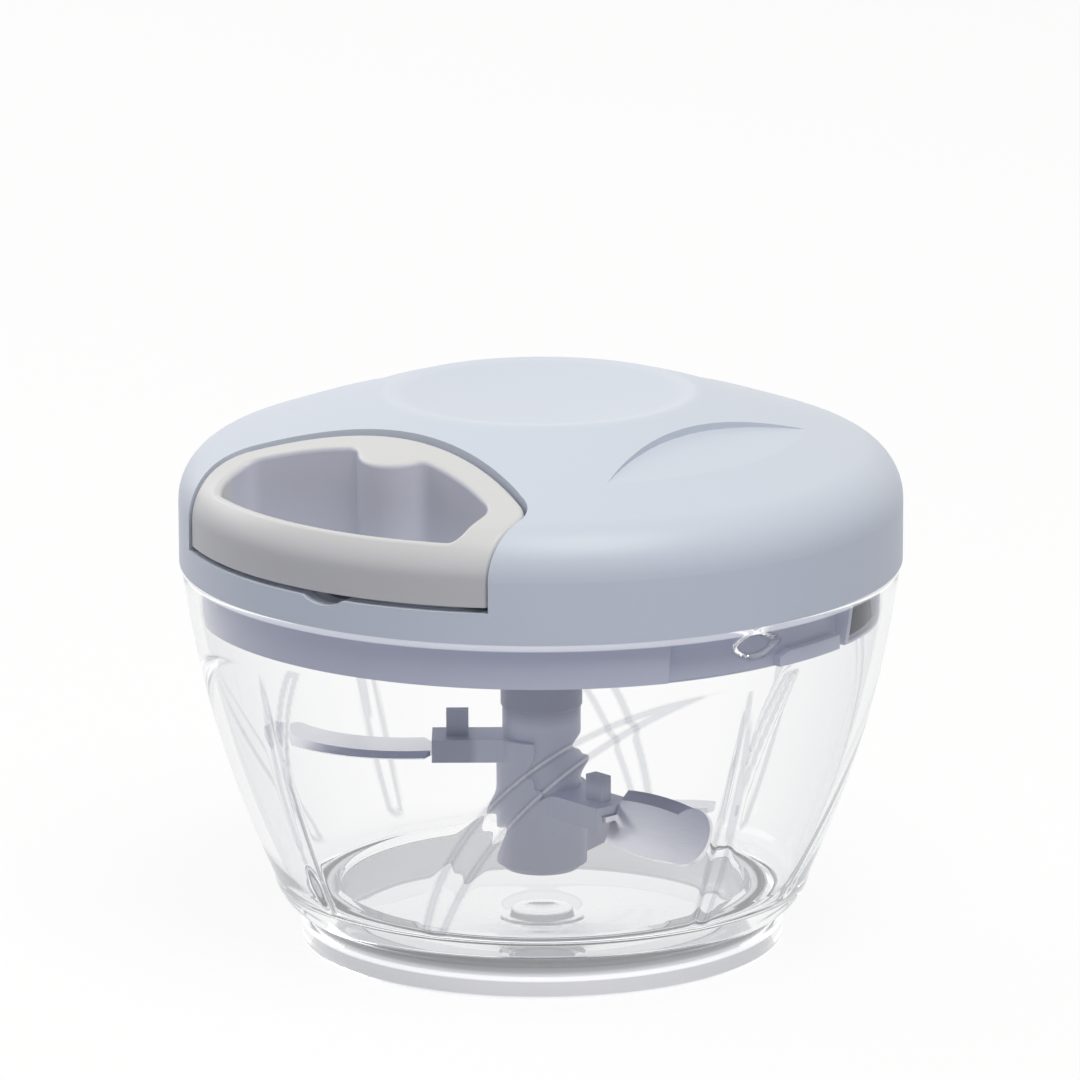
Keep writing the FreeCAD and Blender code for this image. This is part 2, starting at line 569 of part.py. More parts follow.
def make_bowl():
    base, middle, rim = wall_outline(0.0)
    in_base, in_middle, in_rim = wall_outline(BOWL_WALL)
    skirt_low = RING_GRIP
    channel_in = CUP_R + CUP_WALL
    channel_out = NECK_R - FOOT_SKIRT
    ledge_under = LEDGE_Z - FLOOR_T
    round_out = ((BASE_R + NECK_R) / 2 + BASE_BOW, (BASE_Z + NECK_Z) / 2 - BASE_BOW)
    ledge_end = (in_base[0] - LEDGE_RUN, LEDGE_Z + 0.2)
    round_in = (in_base[0] - LEDGE_RUN / 3, (in_base[1] + ledge_end[1]) / 2 - LEDGE_BOW)
    floor_centre = (CUP_R - FLOOR_ROUND, FLOOR_Z + FLOOR_ROUND)
    post_top = POST_R - POST_SLOPE
    shell = turned(
        (0, FLOOR_Z - FLOOR_T), (channel_in, FLOOR_Z - FLOOR_T), (channel_in, ledge_under),
        (channel_out, ledge_under), (channel_out, skirt_low), (FOOT_R - BEAD_EDGE, skirt_low),
        (FOOT_R, skirt_low + BEAD_EDGE), (FOOT_R, FOOT_BEAD_TOP - BEAD_EDGE),
        (FOOT_R - BEAD_EDGE, FOOT_BEAD_TOP), (NECK_R, FOOT_BEAD_TOP + BEAD_EDGE), (NECK_R, NECK_Z),
        (round_out, base), (middle, rim), in_rim, (in_middle, in_base), (round_in, ledge_end),
        (CUP_R + CUP_EDGE, LEDGE_Z), (CUP_R, LEDGE_Z - CUP_EDGE), (CUP_R, floor_centre[1]),
        (on_circle(floor_centre, FLOOR_ROUND, -45.0), (floor_centre[0], FLOOR_Z)),
        (POST_COLLAR_R, FLOOR_Z), (POST_COLLAR_R - POST_SLOPE, FLOOR_Z + COLLAR_H),
        (POST_R, FLOOR_Z + COLLAR_H), (post_top, FLOOR_Z + POST_H),
        (post_top - POST_RIM, FLOOR_Z + POST_H), (0, FLOOR_Z + POST_H - POST_DISH),
    )
    lens_side = LUG_W / 2
    lens_high = LUG_H / 2
    wall_middle = wall_radius(LUG_Z, BOWL_WALL / 2)
    extras = bowl_ribs()
    for k in range(LUG_COUNT):
        turn = LUG_TURN + 360.0 / LUG_COUNT * k
        extras.append(facing(
            turn, LUG_REACH, wall_middle, (-lens_side, LUG_Z), ((0, LUG_Z - lens_high), (lens_side, LUG_Z)),
            ((0, LUG_Z + lens_high), (-lens_side, LUG_Z)),
        ))
        stop_turn = turn + STRIP_GAP - LOCK_TURN - STOP_BACK
        outer = wall_radius(STRIP_TOP, BOWL_WALL / 3)
        inner = STRIP_R - STOP_OVER
        extras.append(sector(inner, outer, STRIP_TOP - STRIP_H, STRIP_TOP, stop_turn, STOP_SPAN))
    return joined(shell, *extras)


def make_foot_ring():
    inner = CUP_R + CUP_WALL + RING_PLAY
    outer = NECK_R - FOOT_SKIRT - RING_PLAY
    top = LEDGE_Z - FLOOR_T - RING_PLAY
    return turned(
        (inner + EDGE_CUT, 0), (outer - EDGE_CUT, 0), (outer, EDGE_CUT), (outer, top - EDGE_CUT),
        (outer - EDGE_CUT, top), (inner + EDGE_CUT, top), (inner, top - EDGE_CUT), (inner, EDGE_CUT),
    )


# ---------------------------------------------------------------- lid
def make_seal_ring():
    """The ring that seals lid and bowl, loose on the lid's skirt between base plate and rim."""
    inner = SKIRT_R + SEAL_PLAY
    outer = LID_R - 1.0 - SEAL_PLAY
    low = LID_EDGE_Z
    top = PLATE_LOW - SEAL_PLAY
    return turned((inner, low), (outer, low), (outer, top), (inner, top))


def screw_bosses():
    """Bosses inside the lid for the four screws of its base."""
    under = dome(LID_TOP - 0.6, PLATE_TOP)
    bosses = []
    for turn in SCREW_TURNS:
        place = polar(SCREW_RING, turn)
        boss = stud(SCREW_R + BOSS_WALL, PLATE_TOP + LAY_GAP, LIP_Z, place).common(under)
        hole_top = PLATE_TOP + SCREW_BITE + HOLE_SPARE
        bosses.append(boss.cut(stud(SCREW_R + SEAT_FIT, PLATE_TOP, hole_top, place)))
    return bosses


def housing_bosses():
    """Bosses inside the lid for the three screws of the spring housing."""
    under = dome(LID_TOP - 0.6, PLATE_TOP)
    bosses = []
    for turn in EAR_TURNS:
        place = polar(EAR_R, turn)
        boss = stud(EAR_SCREW_R + EAR_BOSS_WALL, EAR_TOP + LAY_GAP, LIP_Z, place).common(under)
        bosses.append(boss.cut(stud(EAR_SCREW_R + SEAT_FIT, EAR_TOP, LIP_Z - LID_TOP - EAR_HOLE_END, place)))
    return bosses


def make_lid_cover():
    outer = dome(0.0, LID_EDGE_Z)
    cavity = dome(LID_TOP, LID_EDGE_Z).fuse(ring(0, LID_R - LID_SIDE, LID_EDGE_Z, SHOULDER_Z))
    cavity = cavity.fuse(ring(0, LID_R - 1.0, LID_EDGE_Z, PLATE_LOW + 0.1)).removeSplitter()
    for turn in SCOOP_TURNS:
        outer = outer.cut(scoop(turn, 0.0))
        cavity = cavity.cut(scoop(turn, LID_TOP))
    pocket = recess(POCKET_WALL, POCKET_LOW, LIP_Z + 1.0).common(outer)
    axle_boss = ring(0, AXLE_BOSS_R, HUB_END - SPRING_H - 0.2, LIP_Z - LID_TOP - 0.4)
    cover = outer.cut(cavity)
    cover = cover.fuse([pocket, axle_boss] + screw_bosses() + housing_bosses())
    notch_top = RECESS_FLOOR_Z + EDGE_CUT
    notch = facing(
        NOTCH_TURN, BACK_NEAR + BACK_ARC_R / 3, 2 * LID_R, (-NOTCH_HALF, notch_top),
        ((0, RECESS_FLOOR_Z - NOTCH_DEPTH), (NOTCH_HALF, notch_top)),
    )
    eyelet_start = vec(0, -BACK_NEAR - 1.0, CORD_Z)
    eyelet_hole = Part.makeCylinder(eyelet_body_r() + SEAT_FIT, 6.0, eyelet_start, vec(0, 1, 0))
    axle_hole = ring(0, AXLE_R + SEAT_FIT, PLATE_TOP, LIP_Z - LID_TOP - 1.4)
    cuts = [recess(0.0, RECESS_FLOOR_Z, LIP_Z + 1.0), notch, eyelet_hole, axle_hole]
    for cut in cuts:
        cover = cover.cut(cut)
    return cover.removeSplitter()


def make_lid_base():
    """The plate that closes the lid from below, with the skirt that enters the bowl."""
    plate_r = LID_R - LID_SIDE - SEAL_PLAY
    boss_low = BUSH_LOW + BUSH_FLANGE_T + LAY_GAP
    bush_hole = SPINDLE_R + RUN_FIT + BUSH_T + SEAT_FIT
    skirt_in = SKIRT_R - SKIRT_T
    body = turned(
        (bush_hole, boss_low), (bush_hole + BUSH_BOSS_WALL, boss_low),
        (bush_hole + BUSH_BOSS_WALL, PLATE_LOW), (skirt_in, PLATE_LOW), (skirt_in, SKIRT_LOW + EDGE_CUT),
        (skirt_in + EDGE_CUT, SKIRT_LOW), (SKIRT_R - EDGE_CUT, SKIRT_LOW), (SKIRT_R, SKIRT_LOW + EDGE_CUT),
        (SKIRT_R, PLATE_LOW), (plate_r, PLATE_LOW), (plate_r, PLATE_TOP), (bush_hole, PLATE_TOP),
    )
    extras = []
    for k in range(PLATE_RIBS):
        rib = Part.makeBox(skirt_in - bush_hole, RIB_T, RIB_DEPTH + BASE_PLATE_T / 2)
        rib.translate(vec(bush_hole + 1.0, -RIB_T / 2, PLATE_LOW - RIB_DEPTH))
        rib.rotate(ORIGIN, UP, 360.0 / PLATE_RIBS * (k + 0.5))
        extras.append(rib)
    cuts = []
    band_low = SKIRT_LOW + EDGE_CUT
    band_in = SKIRT_R - SKIRT_T / 2
    band_low_r = wall_radius(band_low, BOWL_WALL) - SKIRT_ROOM
    band_top_r = wall_radius(RIM_Z, BOWL_WALL) - SKIRT_ROOM
    for k in range(LUG_COUNT):
        extras.append(wedge(
            BAND_TURN + 360.0 / LUG_COUNT * k, BAND_SPAN, (band_in, band_low),
            (band_low_r, band_low), (band_top_r, RIM_Z), (band_in, RIM_Z),
        ))
        turn = LUG_TURN + STRIP_GAP + 360.0 / LUG_COUNT * k
        strip = sector(band_in, STRIP_R, STRIP_TOP - STRIP_H, STRIP_TOP, turn, STRIP_SPAN)
        lead = facing(
            turn, SKIRT_R, LID_R, (-STRIP_LEAD, STRIP_TOP + 1.0), (STRIP_LEAD, STRIP_TOP + 1.0),
            (STRIP_LEAD, STRIP_TOP), (-STRIP_LEAD, STRIP_TOP - 0.7 * STRIP_H),
        )
        extras.append(strip.cut(lead))
        field_turn = FIELD_TURN - FIELD_SPAN / 2 + 360.0 / LUG_COUNT * k
        low, top = band_low + EDGE_CUT, RIM_Z - EDGE_CUT
        cuts.append(sector(band_low_r - FIELD_DEPTH, LID_R, low, top, field_turn, FIELD_SPAN))
    body = joined(body, *extras)
    for turn in SCREW_TURNS:
        low = PLATE_LOW - RIB_DEPTH - 1.0
        cuts.append(stud(SCREW_R + HOLE_PLAY, low, PLATE_TOP + 1.0, polar(SCREW_RING, turn)))
        cuts.append(stud(SCREW_HEAD_R + HOLE_PLAY, low, PLATE_LOW, polar(SCREW_RING, turn)))
    for cut in cuts:
        body = body.cut(cut)
    return body.removeSplitter()


def screw(place, head_low, head_h, head_r, radius, length):
    """A round-headed screw that points up, with a cross slot in its head."""
    head = stud(head_r, head_low, head_low + head_h, place)
    shank = stud(radius, head_low, head_low + head_h + length, place)
    slot_l = 1.6 * radius
    corner = vec(slot_l / 2, SLOT_W / 2)
    slot = Part.makeBox(slot_l, SLOT_W, head_h / 2, place - corner + vec(0, 0, head_low))
    corner = vec(SLOT_W / 2, slot_l / 2)
    cross = Part.makeBox(SLOT_W, slot_l, head_h / 2, place - corner + vec(0, 0, head_low))
    return joined(head, shank).cut(slot).cut(cross)


def make_lid_screws():
    low = PLATE_LOW - SCREW_HEAD_H
    return Part.Compound([
        screw(polar(SCREW_RING, turn), low, SCREW_HEAD_H, SCREW_HEAD_R, SCREW_R, BASE_PLATE_T + SCREW_BITE)
        for turn in SCREW_TURNS
    ])


def make_axle():
    top = LIP_Z - LID_TOP - 1.6
    return turned(
        (0, AXLE_LOW), (AXLE_R - EDGE_CUT, AXLE_LOW), (AXLE_R, AXLE_LOW + EDGE_CUT),
        (AXLE_R, top - EDGE_CUT), (AXLE_R - EDGE_CUT, top), (0, top),
    )


# ---------------------------------------------------------------- spring housing and spring
def make_spring_housing():
    top = LIP_Z - LID_TOP - LID_ROOM
    hole = HUB_R + 2 * SPIN_GAP
    cup = turned(
        (hole, HOUSING_LOW), (HOUSING_R, HOUSING_LOW), (HOUSING_R, top), (HOUSING_R - HOUSING_T, top),
        (HOUSING_R - HOUSING_T, HOUSING_LOW + HOUSING_T), (hole, HOUSING_LOW + HOUSING_T),
    )
    ears = []
    holes = []
    ear_r = EAR_HEAD_R + EAR_SIDE
    for turn in EAR_TURNS:
        place = polar(EAR_R, turn)
        arm = Part.makeBox(2 * ear_r, EAR_R - HOUSING_R + HOUSING_T / 2, EAR_T)
        arm.translate(vec(-ear_r, -EAR_R, EAR_TOP - EAR_T))
        arm.rotate(ORIGIN, UP, turn)
        ears += [arm, stud(ear_r, EAR_TOP - EAR_T, EAR_TOP, place)]
        holes.append(stud(EAR_SCREW_R + HOLE_PLAY, EAR_TOP - 2 * EAR_T, EAR_TOP + EAR_T, place))
    body = joined(cup, *ears)
    for hole in holes:
        body = body.cut(hole)
    return body


def make_housing_screws():
    low = EAR_TOP - EAR_T - EAR_HEAD_H
    length = LIP_Z - LID_TOP - EAR_HOLE_END - LID_ROOM - EAR_TOP + EAR_T
    return Part.Compound([
        screw(polar(EAR_R, turn), low, EAR_HEAD_H, EAR_HEAD_R, EAR_SCREW_R, length) for turn in EAR_TURNS
    ])


def make_recoil_spring():
    """A flat coiled strip between the drum's hub and the housing's wall."""
    inner = HUB_R + SPRING_ENDS
    outer = HOUSING_R - HOUSING_T - SPRING_ENDS
    pitch = (outer - inner - SPRING_T) / SPRING_TURNS
    inside = spiral(inner + SPRING_T / 2, pitch, SPRING_TURNS, -SPRING_T / 2)
    outside = spiral(inner + SPRING_T / 2, pitch, SPRING_TURNS, SPRING_T / 2)
    start = Part.makeLine(inside[0].Vertexes[0].Point, outside[0].Vertexes[0].Point)
    finish = Part.makeLine(inside[-1].Vertexes[-1].Point, outside[-1].Vertexes[-1].Point)
    edges = Part.__sortEdges__(inside + outside + [start, finish])
    strip = Part.Face(Part.Wire(edges)).extrude(vec(0, 0, SPRING_H))
    strip.translate(vec(0, 0, SPRING_LOW))
    return strip


# ---------------------------------------------------------------- drum, cord and clutch
def make_cord_drum():
    bore = AXLE_R + RUN_FIT
    core = CORD_CORE - CORD_R - 2 * LAY_GAP
    foot = CLUTCH_FLOOR + SPIN_GAP
    shelf = HUB_END - SPRING_H - 2 * SPIN_GAP
    flare_r = DRUM_R - GROOVE_FLARE
    hub_in = AXLE_BOSS_R + HUB_BORE_PLAY
    return turned(
        (bore, foot), (STEM_R, foot), (STEM_R, DRUM_LOW), (DRUM_R, DRUM_LOW),
        (DRUM_R, GROOVE_LOW - GROOVE_FLARE / 2), (flare_r, GROOVE_LOW), (core, GROOVE_LOW),
        (core, GROOVE_TOP), (flare_r, GROOVE_TOP), (DRUM_R, GROOVE_TOP + GROOVE_FLARE / 2),
        (DRUM_R, DRUM_TOP), (HUB_R, DRUM_TOP), (HUB_R, HUB_END), (hub_in, HUB_END), (hub_in, shelf),
        (bore, shelf),
    )


def make_cord_wound():
    """The cord's turns on the drum, one over the other."""
    coil = swept(spiral(CORD_CORE, CORD_PITCH, CORD_TURNS), CORD_R)
    coil.rotate(ORIGIN, UP, exit_turn() - 90.0)
    coil.translate(vec(0, 0, CORD_Z))
    return coil


def cord_bend():
    """Centre and radius of the cord's bend round the eyelet's mouth."""
    radius = CORD_R + CORD_PLAY + EYELET_FLARE
    return vec(-radius, -(WALL_LINE - EYELET_LIP + EYELET_FLARE), CORD_Z), radius


def exit_turn():
    """The turn where the cord leaves the drum on its way to the bend."""
    centre, radius = cord_bend()
    distance = math.hypot(centre.x, centre.y)
    lean = math.degrees(math.acos((CORD_EXIT + radius) / distance))
    return math.degrees(math.atan2(-centre.y, -centre.x)) - lean - 90.0


def make_cord_run():
    """The cord from the drum round the eyelet's mouth and out through it."""
    centre, radius = cord_bend()
    leave = polar(CORD_EXIT, exit_turn(), CORD_Z)
    heading = exit_turn() + 90.0
    bend_in = on_circle(centre, radius, heading)
    middle = on_circle(centre, radius, heading / 2)
    bend_out = on_circle(centre, radius, 0.0)
    edges = [
        Part.makeLine(leave, vec(*bend_in, CORD_Z)),
        Part.Arc(vec(*bend_in, CORD_Z), vec(*middle, CORD_Z), vec(*bend_out, CORD_Z)).toShape(),
        Part.makeLine(vec(*bend_out, CORD_Z), vec(0, -EYELET_FRONT, CORD_Z)),
    ]
    return swept(edges, CORD_R)


def eyelet_body_r():
    return CORD_R + CORD_PLAY + EYELET_WALL


def make_cord_eyelet():
    """A hard bush in the recess's back wall, with a rounded mouth where the cord comes in."""
    bore = CORD_R + CORD_PLAY
    body = eyelet_body_r()
    back = WALL_LINE - EYELET_LIP
    mouth = (bore + EYELET_FLARE, back + EYELET_FLARE)
    rim_r = mouth[0] + EYELET_RIM
    body_of_eyelet = outline(
        lambda r, v: vec(r, -v, 0), (mouth[0], back), (rim_r, back), (rim_r, WALL_LINE - LAY_GAP),
        (body, WALL_LINE - LAY_GAP), (body, EYELET_FRONT), (bore + EYELET_EDGE, EYELET_FRONT),
        (bore, EYELET_FRONT - EYELET_EDGE), (bore, mouth[1]),
        (on_circle(mouth, EYELET_FLARE, -135.0), (mouth[0], back)),
    ).revolve(ORIGIN, vec(0, 1, 0), 360)
    body_of_eyelet.translate(vec(0, 0, CORD_Z))
    return body_of_eyelet


def make_clutch_arms():
    """A ring under the drum with sprung arms that catch the ratchet one way."""
    low = CLUTCH_FLOOR + 2 * SPIN_GAP
    top = DRUM_LOW - 2 * LAY_GAP
    tip_r = CLUTCH_R - CLUTCH_WALL - CLUTCH_TOOTH - ARM_TIP_PLAY
    body = ring(STEM_R + SEAT_FIT, ARM_RING_R, low, top)
    arms = []
    for k in range(ARM_COUNT):
        arm = plate(
            low, top, on_circle((0, 0), ARM_RING_R - 1.1, -14.4), on_circle((0, 0), ARM_RING_R + 3.6, -41.4),
            (on_circle((0, 0), tip_r - 3.2, -28.0), on_circle((0, 0), tip_r - 2.0, -3.0)),
            on_circle((0, 0), tip_r, 0.0),
            (on_circle((0, 0), tip_r - 1.0, -22.0), on_circle((0, 0), tip_r - 0.2, -44.6)),
            on_circle((0, 0), ARM_RING_R + 5.4, -51.3), on_circle((0, 0), ARM_RING_R - 1.5, -35.9),
        )
        arm.rotate(ORIGIN, UP, 360.0 / ARM_COUNT * k)
        arms.append(arm)
    return joined(body, *arms)


def groove_low():
    """The lower edge of the clip's groove, so high that the clip lies under the bush."""
    return BUSH_LOW - CLIP_GROOVE_H - ARM_TIP_PLAY


def make_output_spindle():
    """Clutch cup, shaft and drive hexagon in one piece."""
    bore = AXLE_R + RUN_FIT
    wall_in = CLUTCH_R - CLUTCH_WALL
    groove_top = groove_low() + CLIP_GROOVE_H
    end = groove_low() - SPIN_GAP
    groove_r = SPINDLE_R - CLIP_GROOVE
    cup_top = CLUTCH_LOW + CLUTCH_H
    bore_end = AXLE_LOW - EDGE_CUT
    body = turned(
        (0, HEX_LOW - STUB_H), (STUB_R, HEX_LOW - STUB_H), (STUB_R, end), (SPINDLE_R, end),
        (SPINDLE_R, groove_low()), (groove_r, groove_low()), (groove_r, groove_top),
        (SPINDLE_R, groove_top), (SPINDLE_R, CLUTCH_LOW), (CLUTCH_R, CLUTCH_LOW), (CLUTCH_R, cup_top),
        (wall_in, cup_top), (wall_in, CLUTCH_FLOOR), (bore, CLUTCH_FLOOR), (bore, bore_end), (0, bore_end),
    )
    teeth = []
    step = 360.0 / CLUTCH_TEETH
    root_r = wall_in + CLUTCH_WALL / 5
    for k in range(CLUTCH_TEETH):
        tooth = plate(
            CLUTCH_LOW + CLUTCH_BASE / 2, cup_top, on_circle((0, 0), root_r, step * k),
            on_circle((0, 0), wall_in - CLUTCH_TOOTH, step * k + TOOTH_TIP),
            on_circle((0, 0), root_r, step * (k + 0.9)),
        )
        teeth.append(tooth)
    return joined(body, hexagon(HEX_AF, HEX_LOW, groove_low()), *teeth)


def make_thrust_washer():
    low = PLATE_TOP + LAY_GAP
    inner = SPINDLE_R + HOLE_PLAY
    return ring(inner, inner + WASHER_W, low, low + WASHER_T)


def make_output_bush():
    inner = SPINDLE_R + RUN_FIT
    outer = inner + BUSH_T
    flange_r = outer + BUSH_FLANGE
    flange_top = BUSH_LOW + BUSH_FLANGE_T
    top = PLATE_TOP - LAY_GAP
    return turned(
        (inner, BUSH_LOW), (flange_r, BUSH_LOW), (flange_r, flange_top), (outer, flange_top),
        (outer, top), (inner, top),
    )


def make_spindle_clip():
    """The open ring that keeps the spindle from rising."""
    low = groove_low() + LAY_GAP
    clip = ring(SPINDLE_R - CLIP_GROOVE + RUN_FIT, SPINDLE_R + CLIP_OUT, low, low + CLIP_T)
    mouth = Part.makeBox(CLIP_MOUTH, 2 * SPINDLE_R, 3 * CLIP_T, vec(-CLIP_MOUTH / 2, 0, low - CLIP_T))
    return clip.cut(mouth)


def make_grip_ring():
    """The rubber ring at the spindle's end that holds the blade set on."""
    top = HEX_LOW - STUB_H / 2 + GRIP_H / 2
    return ring(STUB_R + RUN_FIT, STUB_R + GRIP_OUT, top - GRIP_H, top)


# ---------------------------------------------------------------- blade set
def arm_box(turn, low):
    arm = Part.makeBox(ARM_W, ARM_REACH - HUB_STEM_R + 0.4, ARM_T)
    arm.translate(vec(-ARM_W / 2, -ARM_REACH, low))
    arm.rotate(ORIGIN, UP, turn)
    return arm


def make_blade_hub():
    """The moulded stem: collar, three arms with upright tabs, hexagon socket."""
    cup_r = POST_R + HUB_CUP_PLAY
    head_r = HUB_STEM_R + HUB_HEAD_OUT
    body = turned(
        (0, HUB_LOW + HUB_CUP_H), (cup_r, HUB_LOW + HUB_CUP_H), (cup_r, HUB_LOW),
        (HUB_COLLAR_R - HUB_FOOT_CUT, HUB_LOW), (HUB_COLLAR_R, HUB_LOW + HUB_FOOT_CUT),
        (HUB_COLLAR_R, LOWER_Z + ARM_T), (HUB_STEM_R, LOWER_Z + ARM_T),
        (HUB_STEM_R, HUB_STEP - HUB_HEAD_OUT), (head_r, HUB_STEP), (head_r, HUB_TOP - 2 * HUB_HEAD_OUT),
        (HUB_STEM_R - HUB_HEAD_OUT, HUB_TOP), (0, HUB_TOP),
    )
    parts = []
    for turn, low, collar in (
        (UPPER_TURN, UPPER_Z, True), (MIDDLE_TURN, MIDDLE_Z, True), (LOWER_TURN, LOWER_Z, False),
    ):
        parts.append(arm_box(turn, low))
        tab = Part.makeBox(TAB_W, TAB_T, TAB_H + ARM_T / 2)
        tab.translate(vec(-TAB_W / 2, -TAB_R - TAB_T / 2, low + ARM_T / 2))
        tab.rotate(ORIGIN, UP, turn)
        parts.append(tab)
        if collar:
            start = turn - COLLAR_SPAN / 2
            parts.append(sector(HEX_AF / 2, HUB_COLLAR_R, LOWER_Z, low + ARM_T, start, COLLAR_SPAN))
    body = joined(body, *parts)
    body = body.cut(hexagon(HEX_AF + 2 * HEX_FIT, HEX_LOW - SPIN_GAP, HUB_TOP + 1.0))
    body = body.cut(ring(0, STUB_R + GRIP_OUT + HEX_FIT, HEX_LOW - STUB_H - SPIN_GAP, HEX_LOW))
    for blade in (upper_blade(BLADE_FIT), middle_blade(BLADE_FIT), lower_blade(BLADE_FIT)):
        body = body.cut(blade)
    return body.removeSplitter()


def leading_edge(blade, top):
    """The long upper edge that meets the food first when the set turns counterclockwise."""
    long_edges = [e for e in blade.Edges if e.CenterOfMass.z > top - 0.01 and e.Length > BLADE_W]
    return max(long_edges, key=lambda e: e.CenterOfMass.x)


def flat_blade(reach, grow):
    """A sickle blade along -Y: a tongue for the arm, a curved cutting edge and a trailing edge."""
    half = BLADE_W / 2
    tongue = ARM_W / 2 - TONGUE_INSET + grow
    root = ARM_REACH + ROOT_GAP
    inner = TONGUE_NEAR - grow
    sweep = 0.25 * reach
    blade = plate(
        -grow, BLADE_T + grow, (-tongue, -inner), (-tongue, -root), (-half, -root - 1.2),
        ((-half - 1.6, -root - 0.45 * (reach - root)), (-sweep - 3.4, -reach + 6.0)),
        ((-sweep - 2.8, -reach + 1.6), (-sweep + 1.4, -reach)),
        ((2.0, -root - 0.62 * (reach - root)), (half, -root - 1.2)), (tongue, -root), (tongue, -inner),
    )
    if grow > 0:
        return blade
    return blade.makeChamfer(EDGE_GRIND * BLADE_T, EDGE_W, [leading_edge(blade, BLADE_T)])


def upper_blade(grow=0.0):
    blade = flat_blade(UPPER_REACH, grow)
    blade.rotate(ORIGIN, UP, UPPER_TURN)
    blade.translate(vec(0, 0, UPPER_Z + 1.0))
    return blade


def lower_blade(grow=0.0):
    blade = flat_blade(LOWER_REACH, grow)
    blade.rotate(ORIGIN, UP, LOWER_TURN)
    blade.translate(vec(0, 0, LOWER_Z + 1.4))
    return blade


def middle_blade(grow=0.0):
    """A straight blade that is twisted past its tongue, so that it lifts the food."""
    half = BLADE_W / 2
    root = ARM_REACH + ROOT_GAP
    low = MIDDLE_Z + ARM_T / 2
    side = ARM_W / 2 - TONGUE_INSET + grow
    far = root + 2 * ROOT_GAP
    tang = Part.makeBox(2 * side, far - TONGUE_NEAR + grow, BLADE_T + 2 * grow)
    tang.translate(vec(-side, -far, low - BLADE_T / 2 - grow))
    if grow > 0:
        tang.rotate(ORIGIN, UP, MIDDLE_TURN)
        return tang
    leaf = plate(
        -BLADE_T / 2, BLADE_T / 2, (-half + 0.6, -root),
        ((-half, -root - 9.0), (-half + 0.6, -MIDDLE_REACH + 6.0)),
        ((0, -MIDDLE_REACH), (half - 0.6, -MIDDLE_REACH + 6.0)), ((half, -root - 9.0), (half - 0.6, -root)),
    )
    leaf = leaf.makeChamfer(EDGE_GRIND * BLADE_T, EDGE_W, [leading_edge(leaf, BLADE_T / 2)])
    leaf.rotate(ORIGIN, vec(0, 1, 0), -MIDDLE_PITCH)
    leaf.translate(vec(0, 0, low))
    blade = joined(tang, leaf)
    blade.rotate(ORIGIN, UP, MIDDLE_TURN)
    return blade


# ---------------------------------------------------------------- handle
def finger_gap():
    """The gap in the handle that the fingers go through."""
    arc_r = BACK_ARC_R - HANDLE_PLAY - BACK_T
    half = RECESS_HALF - HANDLE_PLAY - CHEEK_T
    low, high = HANDLE_LOW - 1.0, LIP_Z
    gap = Part.makeCylinder(arc_r, high - low, vec(0, -(BACK_NEAR + BACK_ARC_R), low))
    gap = gap.common(Part.makeBox(2 * half, LID_R, high - low, vec(-half, -LID_R, low)))
    gap = gap.common(ring(0, LID_R - HANDLE_SINK - BAR_T, low, high))
    corners = [e for e in gap.Edges if upright(e)]
    gap = gap.makeFillet(GRIP_ROUND, corners)
    boss = Part.makeCylinder(BOSS_R, high - low, vec(0, -(BOSS_REACH - BOSS_R), low))
    gap = gap.cut(boss)
    inner = [e for e in gap.Edges if upright(e) and abs(e.CenterOfMass.x) < BOSS_R]
    return gap.makeFillet(GRIP_ROUND, inner)


def upright(edge):
    box = edge.BoundBox
    return box.XLength < 1e-3 and box.YLength < 1e-3 and box.ZLength > 1.0


def make_handle():
    body = recess(-HANDLE_PLAY, HANDLE_LOW, LIP_Z).common(dome(HANDLE_SINK, HANDLE_LOW))
    body = body.cut(finger_gap())
    front = BOSS_REACH - CAP_WALL
    hole_length = front - BACK_NEAR - 1.0
    hole_start = vec(0, -BACK_NEAR, CORD_Z)
    cord_hole = Part.makeCylinder(CORD_R + HANDLE_HOLE_PLAY, hole_length, hole_start, vec(0, -1, 0))
    pocket = Part.makeBox(CAP_W, front - BACK_NEAR - CAP_BACK, CORD_Z + CAP_OVER - HANDLE_LOW + 1.0)
    pocket.translate(vec(-CAP_W / 2, -front, HANDLE_LOW - 1.0))
    body = body.cut(cord_hole).cut(pocket).removeSplitter()
    return body.makeFillet(HANDLE_EDGE, top_edges(body))


def top_edges(body):
    """The edges round a body's upper faces."""
    upper = [f for f in body.Faces if f.normalAt(*middle_of(f)).z > 0.3 and f.BoundBox.ZMax > CORD_Z + 4]
    edges = []
    for face in upper:
        for edge in face.Edges:
            if sum(edge.isSame(e) for f in upper for e in f.Edges) == 1:
                edges.append(edge)
    return edges


def middle_of(face):
    low_u, high_u, low_v, high_v = face.ParameterRange
    return (low_u + high_u) / 2, (low_v + high_v) / 2


def make_cord_tail():
    """The cord from the eyelet's mouth into the ferrule inside the handle."""
    length = BACK_NEAR + CAP_BACK + FERRULE_L - EYELET_FRONT
    return Part.makeCylinder(CORD_R, length, vec(0, -EYELET_FRONT, CORD_Z), vec(0, -1, 0))


def make_cord_ferrule():
    """The crimped sleeve that stops the cord in the handle."""
    start = vec(0, -BACK_NEAR - CAP_BACK - 2 * LAY_GAP, CORD_Z)
    sleeve = Part.makeCylinder(FERRULE_R, FERRULE_L, start, vec(0, -1, 0))
    return sleeve.cut(Part.makeCylinder(CORD_R + SEAT_FIT, 2 * FERRULE_L, start, vec(0, -1, 0)))


